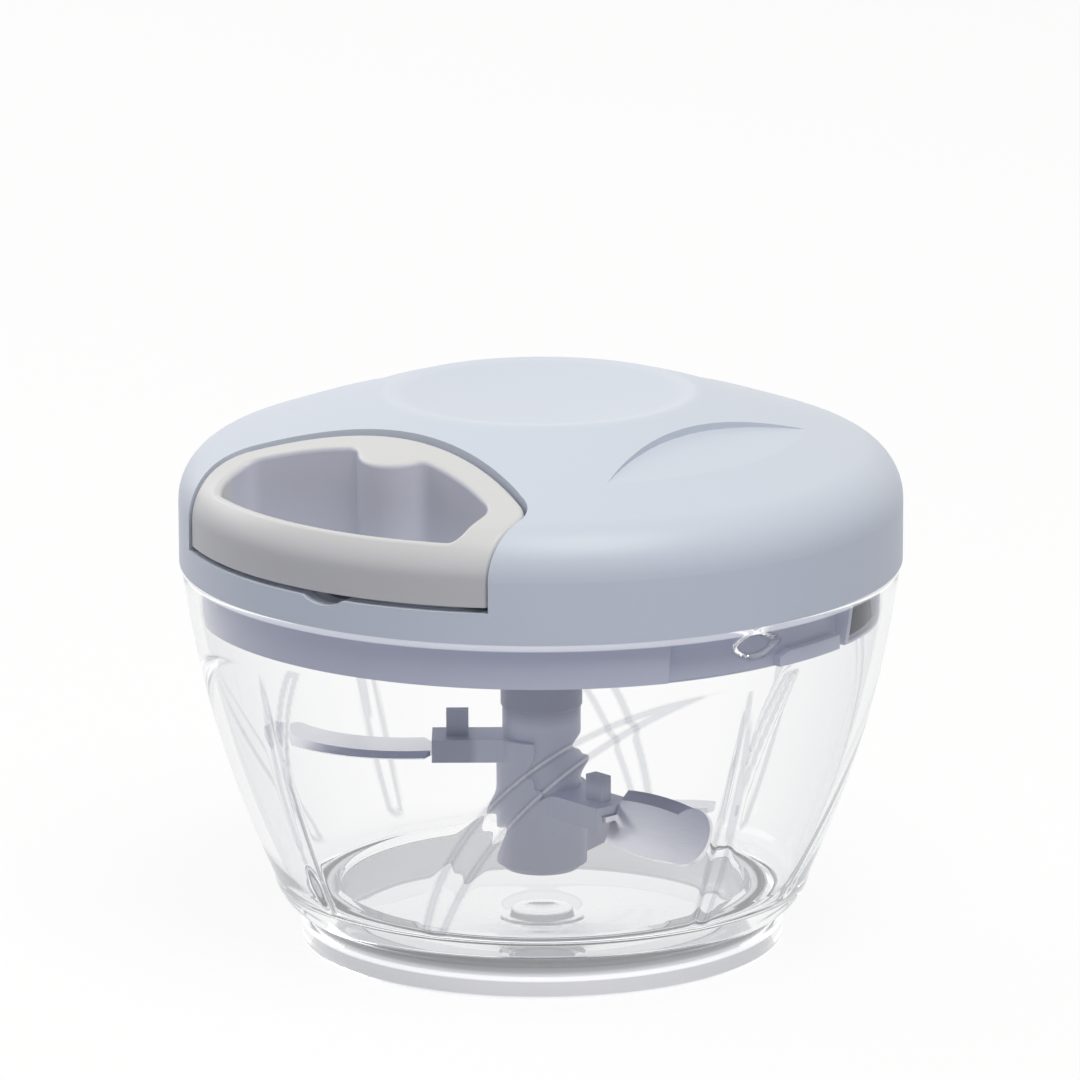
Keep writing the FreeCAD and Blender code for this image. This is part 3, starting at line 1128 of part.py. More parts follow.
def make_knot_cap():
    """The plug that closes the ferrule's pocket from below."""
    front = BOSS_REACH - CAP_WALL
    width = CAP_W - 2 * CAP_PLAY
    depth = front - BACK_NEAR - CAP_BACK - 2 * CAP_PLAY
    corner = vec(-width / 2, -front + CAP_PLAY, HANDLE_LOW + 2 * LAY_GAP)
    return Part.makeBox(width, depth, CAP_T, corner)


# ---------------------------------------------------------------- build
NODES = {
    "bowl": make_bowl,
    "foot_ring": make_foot_ring,
    "seal_ring": make_seal_ring,
    "lid_cover": make_lid_cover,
    "lid_base": make_lid_base,
    "lid_screws": make_lid_screws,
    "axle": make_axle,
    "spring_housing": make_spring_housing,
    "housing_screws": make_housing_screws,
    "recoil_spring": make_recoil_spring,
    "cord_drum": make_cord_drum,
    "cord_wound": make_cord_wound,
    "cord_run": make_cord_run,
    "cord_eyelet": make_cord_eyelet,
    "clutch_arms": make_clutch_arms,
    "output_spindle": make_output_spindle,
    "thrust_washer": make_thrust_washer,
    "output_bush": make_output_bush,
    "spindle_clip": make_spindle_clip,
    "grip_ring": make_grip_ring,
    "blade_hub": make_blade_hub,
    "blade_upper": upper_blade,
    "blade_middle": middle_blade,
    "blade_lower": lower_blade,
    "handle": make_handle,
    "cord_tail": make_cord_tail,
    "cord_ferrule": make_cord_ferrule,
    "knot_cap": make_knot_cap,
}

os.makedirs("parts", exist_ok=True)
for name, make in NODES.items():
    shape = make()
    shape.exportStep("parts/" + name + ".step")
    print(name, len(shape.Solids), "solid", shape.isValid(), round(shape.Volume / 1000, 2), "cm3")
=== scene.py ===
# %% [markdown]
# # A hand-pulled food chopper
# The object is a clear tapered bowl with a domed lid. A handle with a finger loop lies in the
# lid. Pulling it unwinds a cord from a drum inside, and the drum turns three blades that hang
# in the bowl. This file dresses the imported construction: the moving pieces keep their bodies,
# and the pieces whose surface matters most are made anew as formulas on grids.

import math

import bmesh
import bpy
import numpy as np
from mathutils import Matrix


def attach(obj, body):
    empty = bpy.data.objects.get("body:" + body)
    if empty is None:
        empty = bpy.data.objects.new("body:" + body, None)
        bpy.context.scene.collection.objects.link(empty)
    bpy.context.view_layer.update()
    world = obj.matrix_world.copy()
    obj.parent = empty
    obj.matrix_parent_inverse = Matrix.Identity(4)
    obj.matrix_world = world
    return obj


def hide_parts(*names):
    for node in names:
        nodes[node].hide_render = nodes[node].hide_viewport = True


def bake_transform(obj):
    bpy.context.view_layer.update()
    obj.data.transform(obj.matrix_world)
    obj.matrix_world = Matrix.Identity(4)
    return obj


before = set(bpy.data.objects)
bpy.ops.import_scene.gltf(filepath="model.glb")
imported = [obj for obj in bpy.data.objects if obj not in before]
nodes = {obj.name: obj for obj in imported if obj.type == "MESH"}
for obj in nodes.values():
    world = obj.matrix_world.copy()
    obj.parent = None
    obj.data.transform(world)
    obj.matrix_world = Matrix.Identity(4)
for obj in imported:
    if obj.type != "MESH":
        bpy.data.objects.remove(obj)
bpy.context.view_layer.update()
MM = 0.001

# %% [markdown]
# ## Camera
# A long lens far away keeps the ellipses of lid and foot almost equally open, so the lens and
# the distance are settled before anything else. The camera stands 41 degrees round from the
# side where the handle is pulled, a little above the lid, and looks slightly down.

# %% Camera
CAMERA_TURN = 41.0      # degrees round the axis, counted from the pull side
CAMERA_OUT = 1437.0     # mm from the axis
CAMERA_UP = 429.0       # mm above the table
CAMERA_DIP = 13.89      # degrees below the horizon
CAMERA_ROLL = -0.19     # degrees
IMAGE_SIDE = 1080.0     # pixels
FOCAL = 8238.0          # focal length in pixels
CENTRE_X = 540.9        # pixel column of the lens axis
SENSOR = 36.0           # mm
NEAREST, FARTHEST = 0.1, 50.0       # metres between which the camera sees

camera = bpy.data.objects.new("camera", bpy.data.cameras.new("camera"))
bpy.context.scene.collection.objects.link(camera)
turn = math.radians(CAMERA_TURN)
out = CAMERA_OUT * MM
camera.location = (out * math.sin(turn), -out * math.cos(turn), CAMERA_UP * MM)
aim = Matrix.Rotation(turn, 3, "Z") @ Matrix.Rotation(math.radians(90.0 - CAMERA_DIP), 3, "X")
camera.rotation_euler = (aim @ Matrix.Rotation(math.radians(CAMERA_ROLL), 3, "Z")).to_euler()
camera.data.sensor_width = SENSOR
camera.data.lens = FOCAL / IMAGE_SIDE * SENSOR
camera.data.shift_x = -(CENTRE_X - IMAGE_SIDE / 2) / IMAGE_SIDE
camera.data.clip_start, camera.data.clip_end = NEAREST, FARTHEST
bpy.context.scene.camera = camera
print("lens", round(camera.data.lens, 1), "mm")

# %% [markdown]
# ## Helpers for shader nodes
# A finish is a graph of small nodes. Most of them do sums, mix two colours or mix two shaders,
# and each takes either a plain value or what another node puts out. The helpers hide that
# difference, so that a finish can be read from top to bottom.

# %% Helpers for shader nodes


def feed(tree, socket, value):
    """Links an output to a socket, or sets the socket. A colour is red, green and blue."""
    if isinstance(value, bpy.types.NodeSocket):
        tree.links.new(value, socket)
    elif socket.type == "RGBA":
        socket.default_value = (*value, 1.0)
    else:
        socket.default_value = value


def set_up(tree, node, **values):
    """Feeds the inputs and sets the attributes of a node by name, with _ for a space."""
    for name, value in values.items():
        label = name.replace("_", " ")
        if label in node.inputs:
            feed(tree, node.inputs[label], value)
        else:
            setattr(node, name, value)
    return node


def new_node(tree, kind, **values):
    """A node of a kind, set up by name."""
    return set_up(tree, tree.nodes.new(kind), **values)


def maths(tree, operation, *values):
    """The result of a sum on plain numbers or on the outputs of other nodes."""
    node = new_node(tree, "ShaderNodeMath", operation=operation)
    for socket, value in zip(node.inputs, values):
        feed(tree, socket, value)
    return node.outputs[0]


def mixed(tree, share, first, second):
    """A colour that goes from the first to the second as a share goes from 0 to 1."""
    node = new_node(tree, "ShaderNodeMix", data_type="RGBA")
    return set_up(tree, node, Factor=share, A=first, B=second).outputs["Result"]


def either(tree, share, first, second):
    """A shader that goes from the first to the second as a share goes from 0 to 1."""
    node = new_node(tree, "ShaderNodeMixShader", Fac=share)
    tree.links.new(first, node.inputs[1])
    tree.links.new(second, node.inputs[2])
    return node.outputs[0]


def fresh_material(name):
    """A new material with its tree of nodes and its shader."""
    material = bpy.data.materials.new(name)
    material.use_nodes = True
    return material, material.node_tree, material.node_tree.nodes["Principled BSDF"]


def seen_straight(tree, camera_share=1.0):
    """A value that is 1 for glossy and transmission rays and a share for camera rays."""
    path = tree.nodes.new("ShaderNodeLightPath")
    by_camera = maths(tree, "MULTIPLY", path.outputs["Is Camera Ray"], camera_share)
    by_mirror = maths(tree, "MAXIMUM", by_camera, path.outputs["Is Glossy Ray"])
    return maths(tree, "MAXIMUM", by_mirror, path.outputs["Is Transmission Ray"])


WHITE, BLACK = (1.0, 1.0, 1.0), (0.0, 0.0, 0.0)
print("helpers: feed, set_up, new_node, maths, mixed, either, fresh_material, seen_straight")

# %% [markdown]
# ## The room
# The object is clear and pale, so it stands in a white room. What the eye, a reflection or clear
# plastic sees of that room is plain white. As a lamp the room is dimmer, neutral overhead and
# bluish near the horizon, which turns upright walls lavender. A plain white world would be
# simpler, but it would light the sides as much as the top and the form would go flat.

# %% World
WORLD_SEEN = 1.0                    # brightness of the background
WORLD_HIGH = (0.50, 0.49, 0.46)     # light from overhead
WORLD_LOW = (0.10, 0.105, 0.14)     # light from near the horizon
RISE_FROM = -0.1                    # height in the sky where the low light begins to give way

world = bpy.data.worlds.new("white_room")
bpy.context.scene.world = world
world.use_nodes = True
tree = world.node_tree
tree.nodes.clear()
direction = tree.nodes.new("ShaderNodeTexCoord")
parts = new_node(tree, "ShaderNodeSeparateXYZ", Vector=direction.outputs["Generated"])
height = new_node(tree, "ShaderNodeMapRange", interpolation_type="SMOOTHSTEP",
                  From_Min=RISE_FROM, Value=parts.outputs["Z"])
sky = mixed(tree, height.outputs[0], WORLD_LOW, WORLD_HIGH)
lit = new_node(tree, "ShaderNodeBackground", Color=sky, Strength=1.0)
shown = new_node(tree, "ShaderNodeBackground", Color=WHITE, Strength=WORLD_SEEN)
room = either(tree, seen_straight(tree), lit.outputs[0], shown.outputs[0])
new_node(tree, "ShaderNodeOutputWorld", Surface=room)
print("world:", world.name)

# %% [markdown]
# ## Lamps
# One large soft lamp high on the camera's right does most of the work, because a satin lid shows
# its rounding by the step from its bright top to its darker side. A weaker one from the left
# lifts the far end of the lid. Both are wide for their distance, so no shadow has a hard edge.

# %% Lamps
LAMP_OUT = 1.4          # metres from the point where the lamps aim
LAMP_AIM = 0.05         # metres, the height of that point


def lamp(name, azimuth, elevation, size, watts, colour):
    """A square soft lamp that looks at the middle of the object."""
    light = bpy.data.lights.new(name, "AREA")
    light.color, light.size, light.energy = colour, size, watts
    holder = bpy.data.objects.new(name, light)
    bpy.context.scene.collection.objects.link(holder)
    a, e = math.radians(azimuth), math.radians(elevation)
    way = np.array([math.sin(a) * math.cos(e), -math.cos(a) * math.cos(e), math.sin(e)])
    holder.location = way * LAMP_OUT + np.array([0.0, 0.0, LAMP_AIM])
    holder.rotation_euler = (math.radians(90.0 - elevation), 0.0, a)


lamp("key", azimuth=CAMERA_TURN + 18.0, elevation=62.0, size=0.9, watts=13.0,
     colour=(1.0, 0.985, 0.95))
lamp("left", azimuth=CAMERA_TURN - 126.0, elevation=28.0, size=0.8, watts=6.0,
     colour=(1.0, 0.99, 0.98))

# %% [markdown]
# ## Floor
# The floor is one flat disc. A floor that catches all light would draw a horizon and a strong
# shadow, and one that catches none would let the object float. So most of what the eye sees of it
# is plain white, and the rest keeps a faint shadow. The light that it throws back at the object
# is bluish, as the room's low light is.

# %% Floor
FLOOR_RADIUS = 6.0                  # metres
FLOOR_SIDES = 96
FLOOR_SEEN = (0.96, 0.96, 0.96)     # the floor's own colour to the eye
FLOOR_THROWN = (0.42, 0.44, 0.52)   # the colour with which it throws light back at the object
FLOOR_WHITE = 0.90                  # share of plain white to the eye

angles = np.linspace(0, 2 * np.pi, FLOOR_SIDES, endpoint=False)
edge = FLOOR_RADIUS * np.stack([np.cos(angles), np.sin(angles), np.zeros(FLOOR_SIDES)], axis=1)
floor_mesh = bpy.data.meshes.new("floor")
floor_mesh.from_pydata(edge.tolist(), [], [list(range(FLOOR_SIDES))])
floor = bpy.data.objects.new("floor", floor_mesh)
bpy.context.scene.collection.objects.link(floor)

floor_material, tree, shader = fresh_material("floor")
path = tree.nodes.new("ShaderNodeLightPath")
floor_tone = mixed(tree, path.outputs["Is Camera Ray"], FLOOR_THROWN, FLOOR_SEEN)
set_up(tree, shader, Base_Color=floor_tone, Roughness=0.9, Specular_IOR_Level=0.0)
white = new_node(tree, "ShaderNodeEmission", Color=WHITE, Strength=1.0)
floor_look = either(tree, seen_straight(tree, FLOOR_WHITE), shader.outputs[0], white.outputs[0])
feed(tree, tree.nodes["Material Output"].inputs["Surface"], floor_look)
floor_mesh.materials.append(floor_material)
print("floor radius", FLOOR_RADIUS, "m")

# %% [markdown]
# ## Grids, profiles and meshes
# The bowl and the rings are profiles turned about the axis, and the cord is a grid wrapped into a
# tube. Two helpers draw lines: one rounds the corners of a profile, the other lays an arc through
# three places. The others sew a grid of points into a closed mesh, merge the points that meet on
# the axis, and turn a profile about the axis into such a grid.

# %% Helpers for profiles and grids
MERGE = 2e-6            # metres within which two points are one
SHORTEST_EDGE = 1e-6    # metres


def rounded(corners, steps=5):
    """A profile of straight runs whose corners (r, z, radius) become arcs of that radius."""
    points = [np.array(corners[0][:2])]
    for before, corner, after in zip(corners, corners[1:], corners[2:]):
        p = np.array(corner[:2])
        radius = corner[2]
        a = np.array(before[:2]) - p
        b = np.array(after[:2]) - p
        a /= np.linalg.norm(a)
        b /= np.linalg.norm(b)
        half = math.acos(np.clip(a @ b, -1, 1)) / 2
        centre = p + (a + b) / np.linalg.norm(a + b) * radius / math.sin(half)
        start = p + a * radius / math.tan(half) - centre
        end = p + b * radius / math.tan(half) - centre
        sweep = math.pi - 2 * half
        share = np.linspace(0, 1, steps + 1)[:, None]
        arc = start * np.sin((1 - share) * sweep) + end * np.sin(share * sweep)
        points.extend(centre + arc / math.sin(sweep))
    points.append(np.array(corners[-1][:2]))
    return np.array(points)


def arc_through(start, middle, end, steps):
    """Points of the circle's arc through three places."""
    centre, radius = circle_through(start, middle, end)
    first = math.atan2(start[1] - centre[1], start[0] - centre[0])
    last = math.atan2(end[1] - centre[1], end[0] - centre[0])
    sweep = (last - first + math.pi) % (2 * math.pi) - math.pi
    angle = first + sweep * np.linspace(0, 1, steps + 1)
    return centre + radius * np.stack([np.cos(angle), np.sin(angle)], axis=1)


def circle_through(a, b, c):
    """Centre and radius of the circle through three places."""
    m = 2 * np.array([[b[0] - a[0], b[1] - a[1]], [c[0] - a[0], c[1] - a[1]]])
    q = np.array([b[0]**2 + b[1]**2 - a[0]**2 - a[1]**2, c[0]**2 + c[1]**2 - a[0]**2 - a[1]**2])
    centre = np.linalg.solve(m, q)
    return centre, math.dist(centre, a)


def finished(name, mesh, smooth_angle):
    """Merges what meets, turns the faces outwards and shades smoothly up to an angle."""
    bm = bmesh.new()
    bm.from_mesh(mesh)
    bmesh.ops.remove_doubles(bm, verts=bm.verts, dist=MERGE)
    bmesh.ops.dissolve_degenerate(bm, edges=bm.edges, dist=SHORTEST_EDGE)
    bmesh.ops.recalc_face_normals(bm, faces=bm.faces)
    if bm.calc_volume(signed=True) < 0:
        bmesh.ops.reverse_faces(bm, faces=bm.faces)
    bm.to_mesh(mesh)
    bm.free()
    mesh.shade_smooth()
    mesh.set_sharp_from_angle(angle=math.radians(smooth_angle))
    piece = bpy.data.objects.new(name, mesh)
    bpy.context.scene.collection.objects.link(piece)
    print(name, len(mesh.polygons), "faces")
    return piece


def sewn(name, x, y, z, closed_rows=False, smooth_angle=35.0, **marks):
    """A mesh from arrays of rows by columns in mm. Columns close round; rows may close too.
    Marks are arrays of the same shape that are kept as attributes of the points."""
    rows, columns = x.shape
    vertices = np.stack([x, y, z], axis=-1).reshape(-1, 3) * MM
    last = rows if closed_rows else rows - 1
    i, j = np.meshgrid(np.arange(last), np.arange(columns), indexing="ij")
    here, there = i * columns, (i + 1) % rows * columns
    j2 = (j + 1) % columns
    quads = np.stack([here + j2, there + j2, there + j, here + j], axis=-1)
    mesh = bpy.data.meshes.new(name)
    mesh.from_pydata(vertices.tolist(), [], quads.reshape(-1, 4).tolist())
    for label, values in marks.items():
        mesh.attributes.new(label, "FLOAT", "POINT").data.foreach_set("value", values.ravel())
    return finished(name, mesh, smooth_angle)


def around(name, profile, columns, dent=None, **options):
    """A profile (r, z) turned about the axis: x = r sin(t), y = -r cos(t).
    dent(r, z, t) gives how far each point is moved towards the axis, and marks to keep."""
    t = np.linspace(0, 2 * np.pi, columns, endpoint=False)[None, :]
    r = np.repeat(profile[:, :1], columns, axis=1)
    z = np.repeat(profile[:, 1:], columns, axis=1)
    marks = {}
    if dent is not None:
        moved, marks = dent(r, z, t)
        r = r - moved
    return sewn(name, r * np.sin(t), -r * np.cos(t), z, **options, **marks)


print("helpers: rounded, circle_through, arc_through, finished, sewn, around")

# %% [markdown]
# ## Shared effects: moulded plastic
# Moulded plastic is never one flat value: the tool leaves a fine grain, and hands leave faint
# differences in gloss. An effect that many materials share is a group, built once. This one puts
# out a colour, a roughness and a height, so that each material can set them to its own scale.

# %% Node group for moulded plastic
FLOAT, COLOUR = "NodeSocketFloat", "NodeSocketColor"
CLOUD_SCALE = 28.0      # cloudy patches to a metre
GLOSS_SWING = 0.10      # how much the roughness changes over a patch


def group(name, inputs, outputs):
    """An empty shader group with named float or colour sockets and its two end nodes."""
    made = bpy.data.node_groups.new(name, "ShaderNodeTree")
    for label, kind, value in inputs:
        socket = made.interface.new_socket(label, in_out="INPUT", socket_type=kind)
        socket.default_value = value
    for label, kind in outputs:
        made.interface.new_socket(label, in_out="OUTPUT", socket_type=kind)
    return made, made.nodes.new("NodeGroupInput"), made.nodes.new("NodeGroupOutput")


moulded, given, result = group(
    "moulded_plastic",
    [("Colour", COLOUR, (0.8, 0.8, 0.8, 1.0)), ("Roughness", FLOAT, 0.4),
     ("Grain size", FLOAT, 2500.0), ("Mottle", FLOAT, 0.02)],
    [("Colour", COLOUR), ("Roughness", FLOAT), ("Height", FLOAT)],
)
place = moulded.nodes.new("ShaderNodeTexCoord").outputs["Object"]
grain = new_node(moulded, "ShaderNodeTexNoise", Vector=place,
                 Scale=given.outputs["Grain size"], Detail=3.0, Roughness=0.6)
cloud = new_node(moulded, "ShaderNodeTexNoise", Vector=place,
                 Scale=CLOUD_SCALE, Detail=2.0, Roughness=0.5)
centred = maths(moulded, "SUBTRACT", cloud.outputs["Fac"], 0.5)
swing = maths(moulded, "MULTIPLY_ADD", centred, given.outputs["Mottle"], 1.0)
shade = new_node(moulded, "ShaderNodeVectorMath", operation="SCALE",
                 Vector=given.outputs["Colour"], Scale=swing)
gloss = maths(moulded, "MULTIPLY_ADD", centred, GLOSS_SWING, given.outputs["Roughness"])
set_up(moulded, result, Colour=shade.outputs[0], Roughness=gloss, Height=grain.outputs["Fac"])
print("group:", moulded.name)

# %% [markdown]
# ## Shared effects: places on the part
# A mould is polished here and blasted there, and a shaded corner stays darker than an open face,
# which this script paints in as shade.
# Such tones could be drawn on a picture wrapped round the piece. Here a place is told by numbers
# instead: how far it is from the axis, how high, how far round, and how much it faces upwards. A
# second group says with a soft edge whether one of them lies between two limits.

# %% Node groups for places
on_part, _, result = group("place_on_part", [], [
    ("Radius", FLOAT), ("Height", FLOAT), ("Turn", FLOAT), ("Up", FLOAT),
])
place = on_part.nodes.new("ShaderNodeTexCoord")
facing = new_node(on_part, "ShaderNodeSeparateXYZ", Vector=place.outputs["Normal"])
in_mm = new_node(on_part, "ShaderNodeVectorMath", operation="SCALE",
                 Vector=place.outputs["Object"], Scale=1.0 / MM)
axes = new_node(on_part, "ShaderNodeSeparateXYZ", Vector=in_mm.outputs[0])
flat = new_node(on_part, "ShaderNodeVectorMath", operation="MULTIPLY", Vector=in_mm.outputs[0])
flat.inputs[1].default_value = (1.0, 1.0, 0.0)
length = new_node(on_part, "ShaderNodeVectorMath", operation="LENGTH", Vector=flat.outputs[0])
to_front = maths(on_part, "MULTIPLY", axes.outputs["Y"], -1.0)
angle = maths(on_part, "ARCTAN2", axes.outputs["X"], to_front)
set_up(on_part, result, Radius=length.outputs["Value"], Height=axes.outputs["Z"],
       Turn=maths(on_part, "DEGREES", angle), Up=facing.outputs["Z"])

band, given, result = group(
    "band_mask",
    [("Value", FLOAT, 0.0), ("Low", FLOAT, 0.0), ("High", FLOAT, 1.0), ("Soft", FLOAT, 0.1)],
    [("Mask", FLOAT)],
)
value, low, high, soft = (given.outputs[label] for label in ("Value", "Low", "High", "Soft"))
# The distance from the middle is measured doubled: |2 value - (low + high)| against high - low.
opposite = maths(band, "MULTIPLY", maths(band, "ADD", low, high), -1.0)
away = maths(band, "ABSOLUTE", maths(band, "MULTIPLY_ADD", value, 2.0, opposite))
width = maths(band, "SUBTRACT", high, low)
wide = maths(band, "MULTIPLY_ADD", soft, 2.0, width)
fall = new_node(band, "ShaderNodeMapRange", interpolation_type="SMOOTHSTEP", Value=away,
                From_Min=width, From_Max=wide, To_Min=1.0, To_Max=0.0)
set_up(band, result, Mask=fall.outputs[0])
print("groups:", on_part.name, band.name)

# %% [markdown]
# ## Masks and repainting
# With these groups a mask is the product of one band for each limit, and a finish is changed at a
# place by mixing another colour into one of its sockets there.

# %% Masks and repainting


def where(tree, **limits):
    """A mask of the places whose Radius and Height (mm), Turn (degrees) and Up (the upward share
    of the normal) lie between limits, each given as (low, high, width of the soft edge)."""
    spot = new_node(tree, "ShaderNodeGroup", node_tree=on_part)
    mask = 1.0
    for measure, (low, high, soft) in limits.items():
        one = new_node(tree, "ShaderNodeGroup", node_tree=band,
                       Value=spot.outputs[measure], Low=low, High=high, Soft=soft)
        mask = maths(tree, "MULTIPLY", mask, one.outputs["Mask"])
    return mask


def repaint(material, socket, colour, mask):
    """Mixes another colour into one socket of a finish where a mask is 1."""
    tree = material.node_tree
    goal = tree.nodes["Principled BSDF"].inputs[socket]
    before = goal.links[0].from_socket if goal.is_linked else BLACK
    feed(tree, goal, mixed(tree, mask, before, colour))


print("helpers: where, repaint")

# %% [markdown]
# ## Plastics and rubber
# The lid is a pale blue-grey with a satin surface, and the handle and foot are a warmer light
# grey. The stem of the blades is the palest. All are the same finish with other colours, so one
# function makes them.

# %% Plastic materials
PLASTIC_IOR = 1.48
MOTTLE = 0.03           # how much the colour changes over a cloudy patch


def plastic(name, colour, roughness, grain_size=2500.0, bump=0.005):
    """A moulded plastic. grain_size is grains to a metre, and bump is their height in mm."""
    material, tree, shader = fresh_material(name)
    effect = new_node(tree, "ShaderNodeGroup", node_tree=moulded, Colour=colour,
                      Roughness=roughness, Grain_size=grain_size, Mottle=MOTTLE)
    relief = new_node(tree, "ShaderNodeBump", Strength=1.0, Distance=bump * MM,
                      Height=effect.outputs["Height"])
    set_up(tree, shader, Base_Color=effect.outputs["Colour"], IOR=PLASTIC_IOR,
           Roughness=effect.outputs["Roughness"], Normal=relief.outputs["Normal"])
    return material


lid_plastic = plastic("lid_satin", (0.60, 0.65, 0.74), 0.42)
base_plastic = plastic("skirt_satin", (0.66, 0.69, 0.82), 0.35)
handle_plastic = plastic("handle_satin", (0.65, 0.655, 0.665), 0.40)
hub_plastic = plastic("stem_satin", (0.84, 0.855, 0.93), 0.40)
inner_plastic = plastic("inner_white", (0.72, 0.72, 0.70), 0.35)
clutch_plastic = plastic("clutch_dark", (0.06, 0.065, 0.07), 0.35)
foot_rubber = plastic("foot_rubber", (0.66, 0.66, 0.655), 0.60, grain_size=1500.0, bump=0.01)
seal_silicone = plastic("seal_silicone", (0.86, 0.87, 0.88), 0.45)
print("plastics:", [made.name for made in (
    lid_plastic, base_plastic, handle_plastic, hub_plastic, inner_plastic, clutch_plastic,
    foot_rubber, seal_silicone,
)])

# %% [markdown]
# ## Places with painted light and shade
# Some places get painted shade or painted light in their colour. The skirt has a sunk matt field
# on each side, painted nearly black as shade. The walls of the finger loop, the handle's front
# face, the lid's floor under the handle, and the stem's upper half and arms get painted shade, a
# deeper tone than their lighting alone gives them. The lip of the lid's dish gets a painted
# highlight. The soft foot gets a painted glow inside and at its lower edge, though it is no lamp,
# and painted shade in a line near its top. Lamps could do part of this, but they would change
# everything else too. In other light these tones stay, because they are painted.

# %% Places with painted light and shade
WALLS = (-1.1, 0.35, 0.35)          # upward share of the normal on upright walls
IN_LOOP = (0.0, 57.5, 1.0)          # radii of the handle's finger loop
FOOT_FACE = (39.5, 42.0, 0.5)       # radii of the foot ring's outer face
FIELDS = ((102.3, 118.7), (-77.7, -61.3))       # turns of the skirt's sunk fields, painted dark as shade
# nearly black painted shade for the sunk fields
FIELD_SHADE = (0.035, 0.045, 0.075)
PAINTED_LIGHT_AND_SHADE = (
    # painted shade on the inner walls of the handle's loop and on the handle's front face
    (handle_plastic, "Base Color", (0.61, 0.62, 0.71), dict(Radius=IN_LOOP, Up=WALLS)),
    (handle_plastic, "Base Color", (0.56, 0.56, 0.575),
     dict(Radius=(60.6, 70.0, 0.8), Height=(70.0, 82.0, 3.0))),
    # painted shadow on the lid's floor under the handle, and a painted highlight on the lip of its
    # dish
    (lid_plastic, "Base Color", (0.16, 0.17, 0.22),
     dict(Radius=(57.5, 61.8, 0.9), Height=(60.0, 76.6, 0.4))),
    (lid_plastic, "Base Color", (0.63, 0.678, 0.762),
     dict(Radius=(26.2, 27.4, 2.4), Height=(98.0, 103.0, 1.0))),
    # painted shade on the upper half of the stem and on its arms
    (hub_plastic, "Base Color", (0.50, 0.51, 0.59), dict(Height=(44.0, 90.0, 4.0))),
    (hub_plastic, "Base Color", (0.56, 0.58, 0.66),
     dict(Radius=(14.0, 60.0, 2.0), Height=(33.0, 70.0, 3.0))),
    # the foot ring: a painted glow on its inside and its lower edge, and painted shade in a line
    # near its top
    (foot_rubber, "Emission Color", (0.46, 0.46, 0.455), dict(Radius=(30.0, 39.0, 0.6))),
    (foot_rubber, "Emission Color", (0.27, 0.27, 0.275),
     dict(Radius=FOOT_FACE, Height=(-1.0, 4.0, 1.5))),
    (foot_rubber, "Base Color", (0.40, 0.41, 0.405),
     dict(Radius=FOOT_FACE, Height=(6.6, 9.5, 1.0))),
)

# the sunk fields of the skirt: painted shade, nearly black, and a matt roughness
for low, high in FIELDS:
    mask = where(base_plastic.node_tree, Turn=(low, high, 0.3), Height=(63.0, 69.8, 0.2),
                 Radius=(59.0, 64.0, 0.2))
    repaint(base_plastic, "Base Color", FIELD_SHADE, mask)
    repaint(base_plastic, "Roughness", WHITE, mask)
# the other places: painted shade, painted shadow, a painted highlight or a painted glow
for finish, socket, colour, limits in PAINTED_LIGHT_AND_SHADE:
    repaint(finish, socket, colour, where(finish.node_tree, **limits))
# this lets the foot ring's painted glow shine
foot_rubber.node_tree.nodes["Principled BSDF"].inputs["Emission Strength"].default_value = 1.0
print("repainted:", len(FIELDS), "fields on the skirt and", len(PAINTED_LIGHT_AND_SHADE), "other places")

# %% [markdown]
# ## Steel
# Steel gets fine lines along the direction in which it was ground or drawn. They are one noise,
# stretched by an uneven scale, that moves colour, roughness and a very low relief together.

# %% Steel materials
LINE_SCALE = 60.0
GLOSSIER, DULLER = 0.06, 0.10       # how far the roughness goes below and above its mean
LINE_SHADE = 0.86                   # tone of a line's floor
LINE_DEPTH = 0.005                  # mm


def steel(name, colour, roughness, stretch):
    """Ground steel: long thin streaks in roughness and a very low relief."""
    material, tree, shader = fresh_material(name)
    place = tree.nodes.new("ShaderNodeTexCoord").outputs["Object"]
    drawn = new_node(tree, "ShaderNodeMapping", Vector=place, Scale=stretch)
    noise = new_node(tree, "ShaderNodeTexNoise", Vector=drawn.outputs[0], Scale=LINE_SCALE,
                     Detail=4.0, Roughness=0.6)
    lines = noise.outputs["Fac"]
    tone = new_node(tree, "ShaderNodeMapRange", Value=lines, To_Min=roughness - GLOSSIER,
                    To_Max=roughness + DULLER)
    relief = new_node(tree, "ShaderNodeBump", Strength=0.6, Distance=LINE_DEPTH * MM, Height=lines)
    shaded = [c * LINE_SHADE for c in colour]
    set_up(tree, shader, Metallic=1.0, Roughness=tone.outputs[0],
           Base_Color=mixed(tree, lines, shaded, colour), Normal=relief.outputs["Normal"])
    return material


blade_steel = steel("blade_steel", (0.88, 0.885, 0.92), 0.30, stretch=(1.0, 60.0, 60.0))
fastener_steel = steel("fastener_steel", (0.55, 0.55, 0.57), 0.35, stretch=(30.0, 30.0, 1.0))
spring_steel = steel("spring_steel", (0.30, 0.32, 0.36), 0.35, stretch=(1.0, 1.0, 60.0))
print("metals:", blade_steel.name, fastener_steel.name, spring_steel.name)

# %% [markdown]
# ## Braided cord
# A braid is two sets of strands that cross on the slant. Real strands could be modelled one by
# one, but most of this cord is hidden on its drum, so two crossing waves draw it.

# %% Cord material
STRAND_SCALE = 260.0
STRAND_TILT = (0.6, 0.0, 0.78)      # radians by which the waves are turned, one way and the other
STRAND_SHADE = 0.6                  # painted shade between the strands
STRAND_DEPTH = 0.15                 # mm


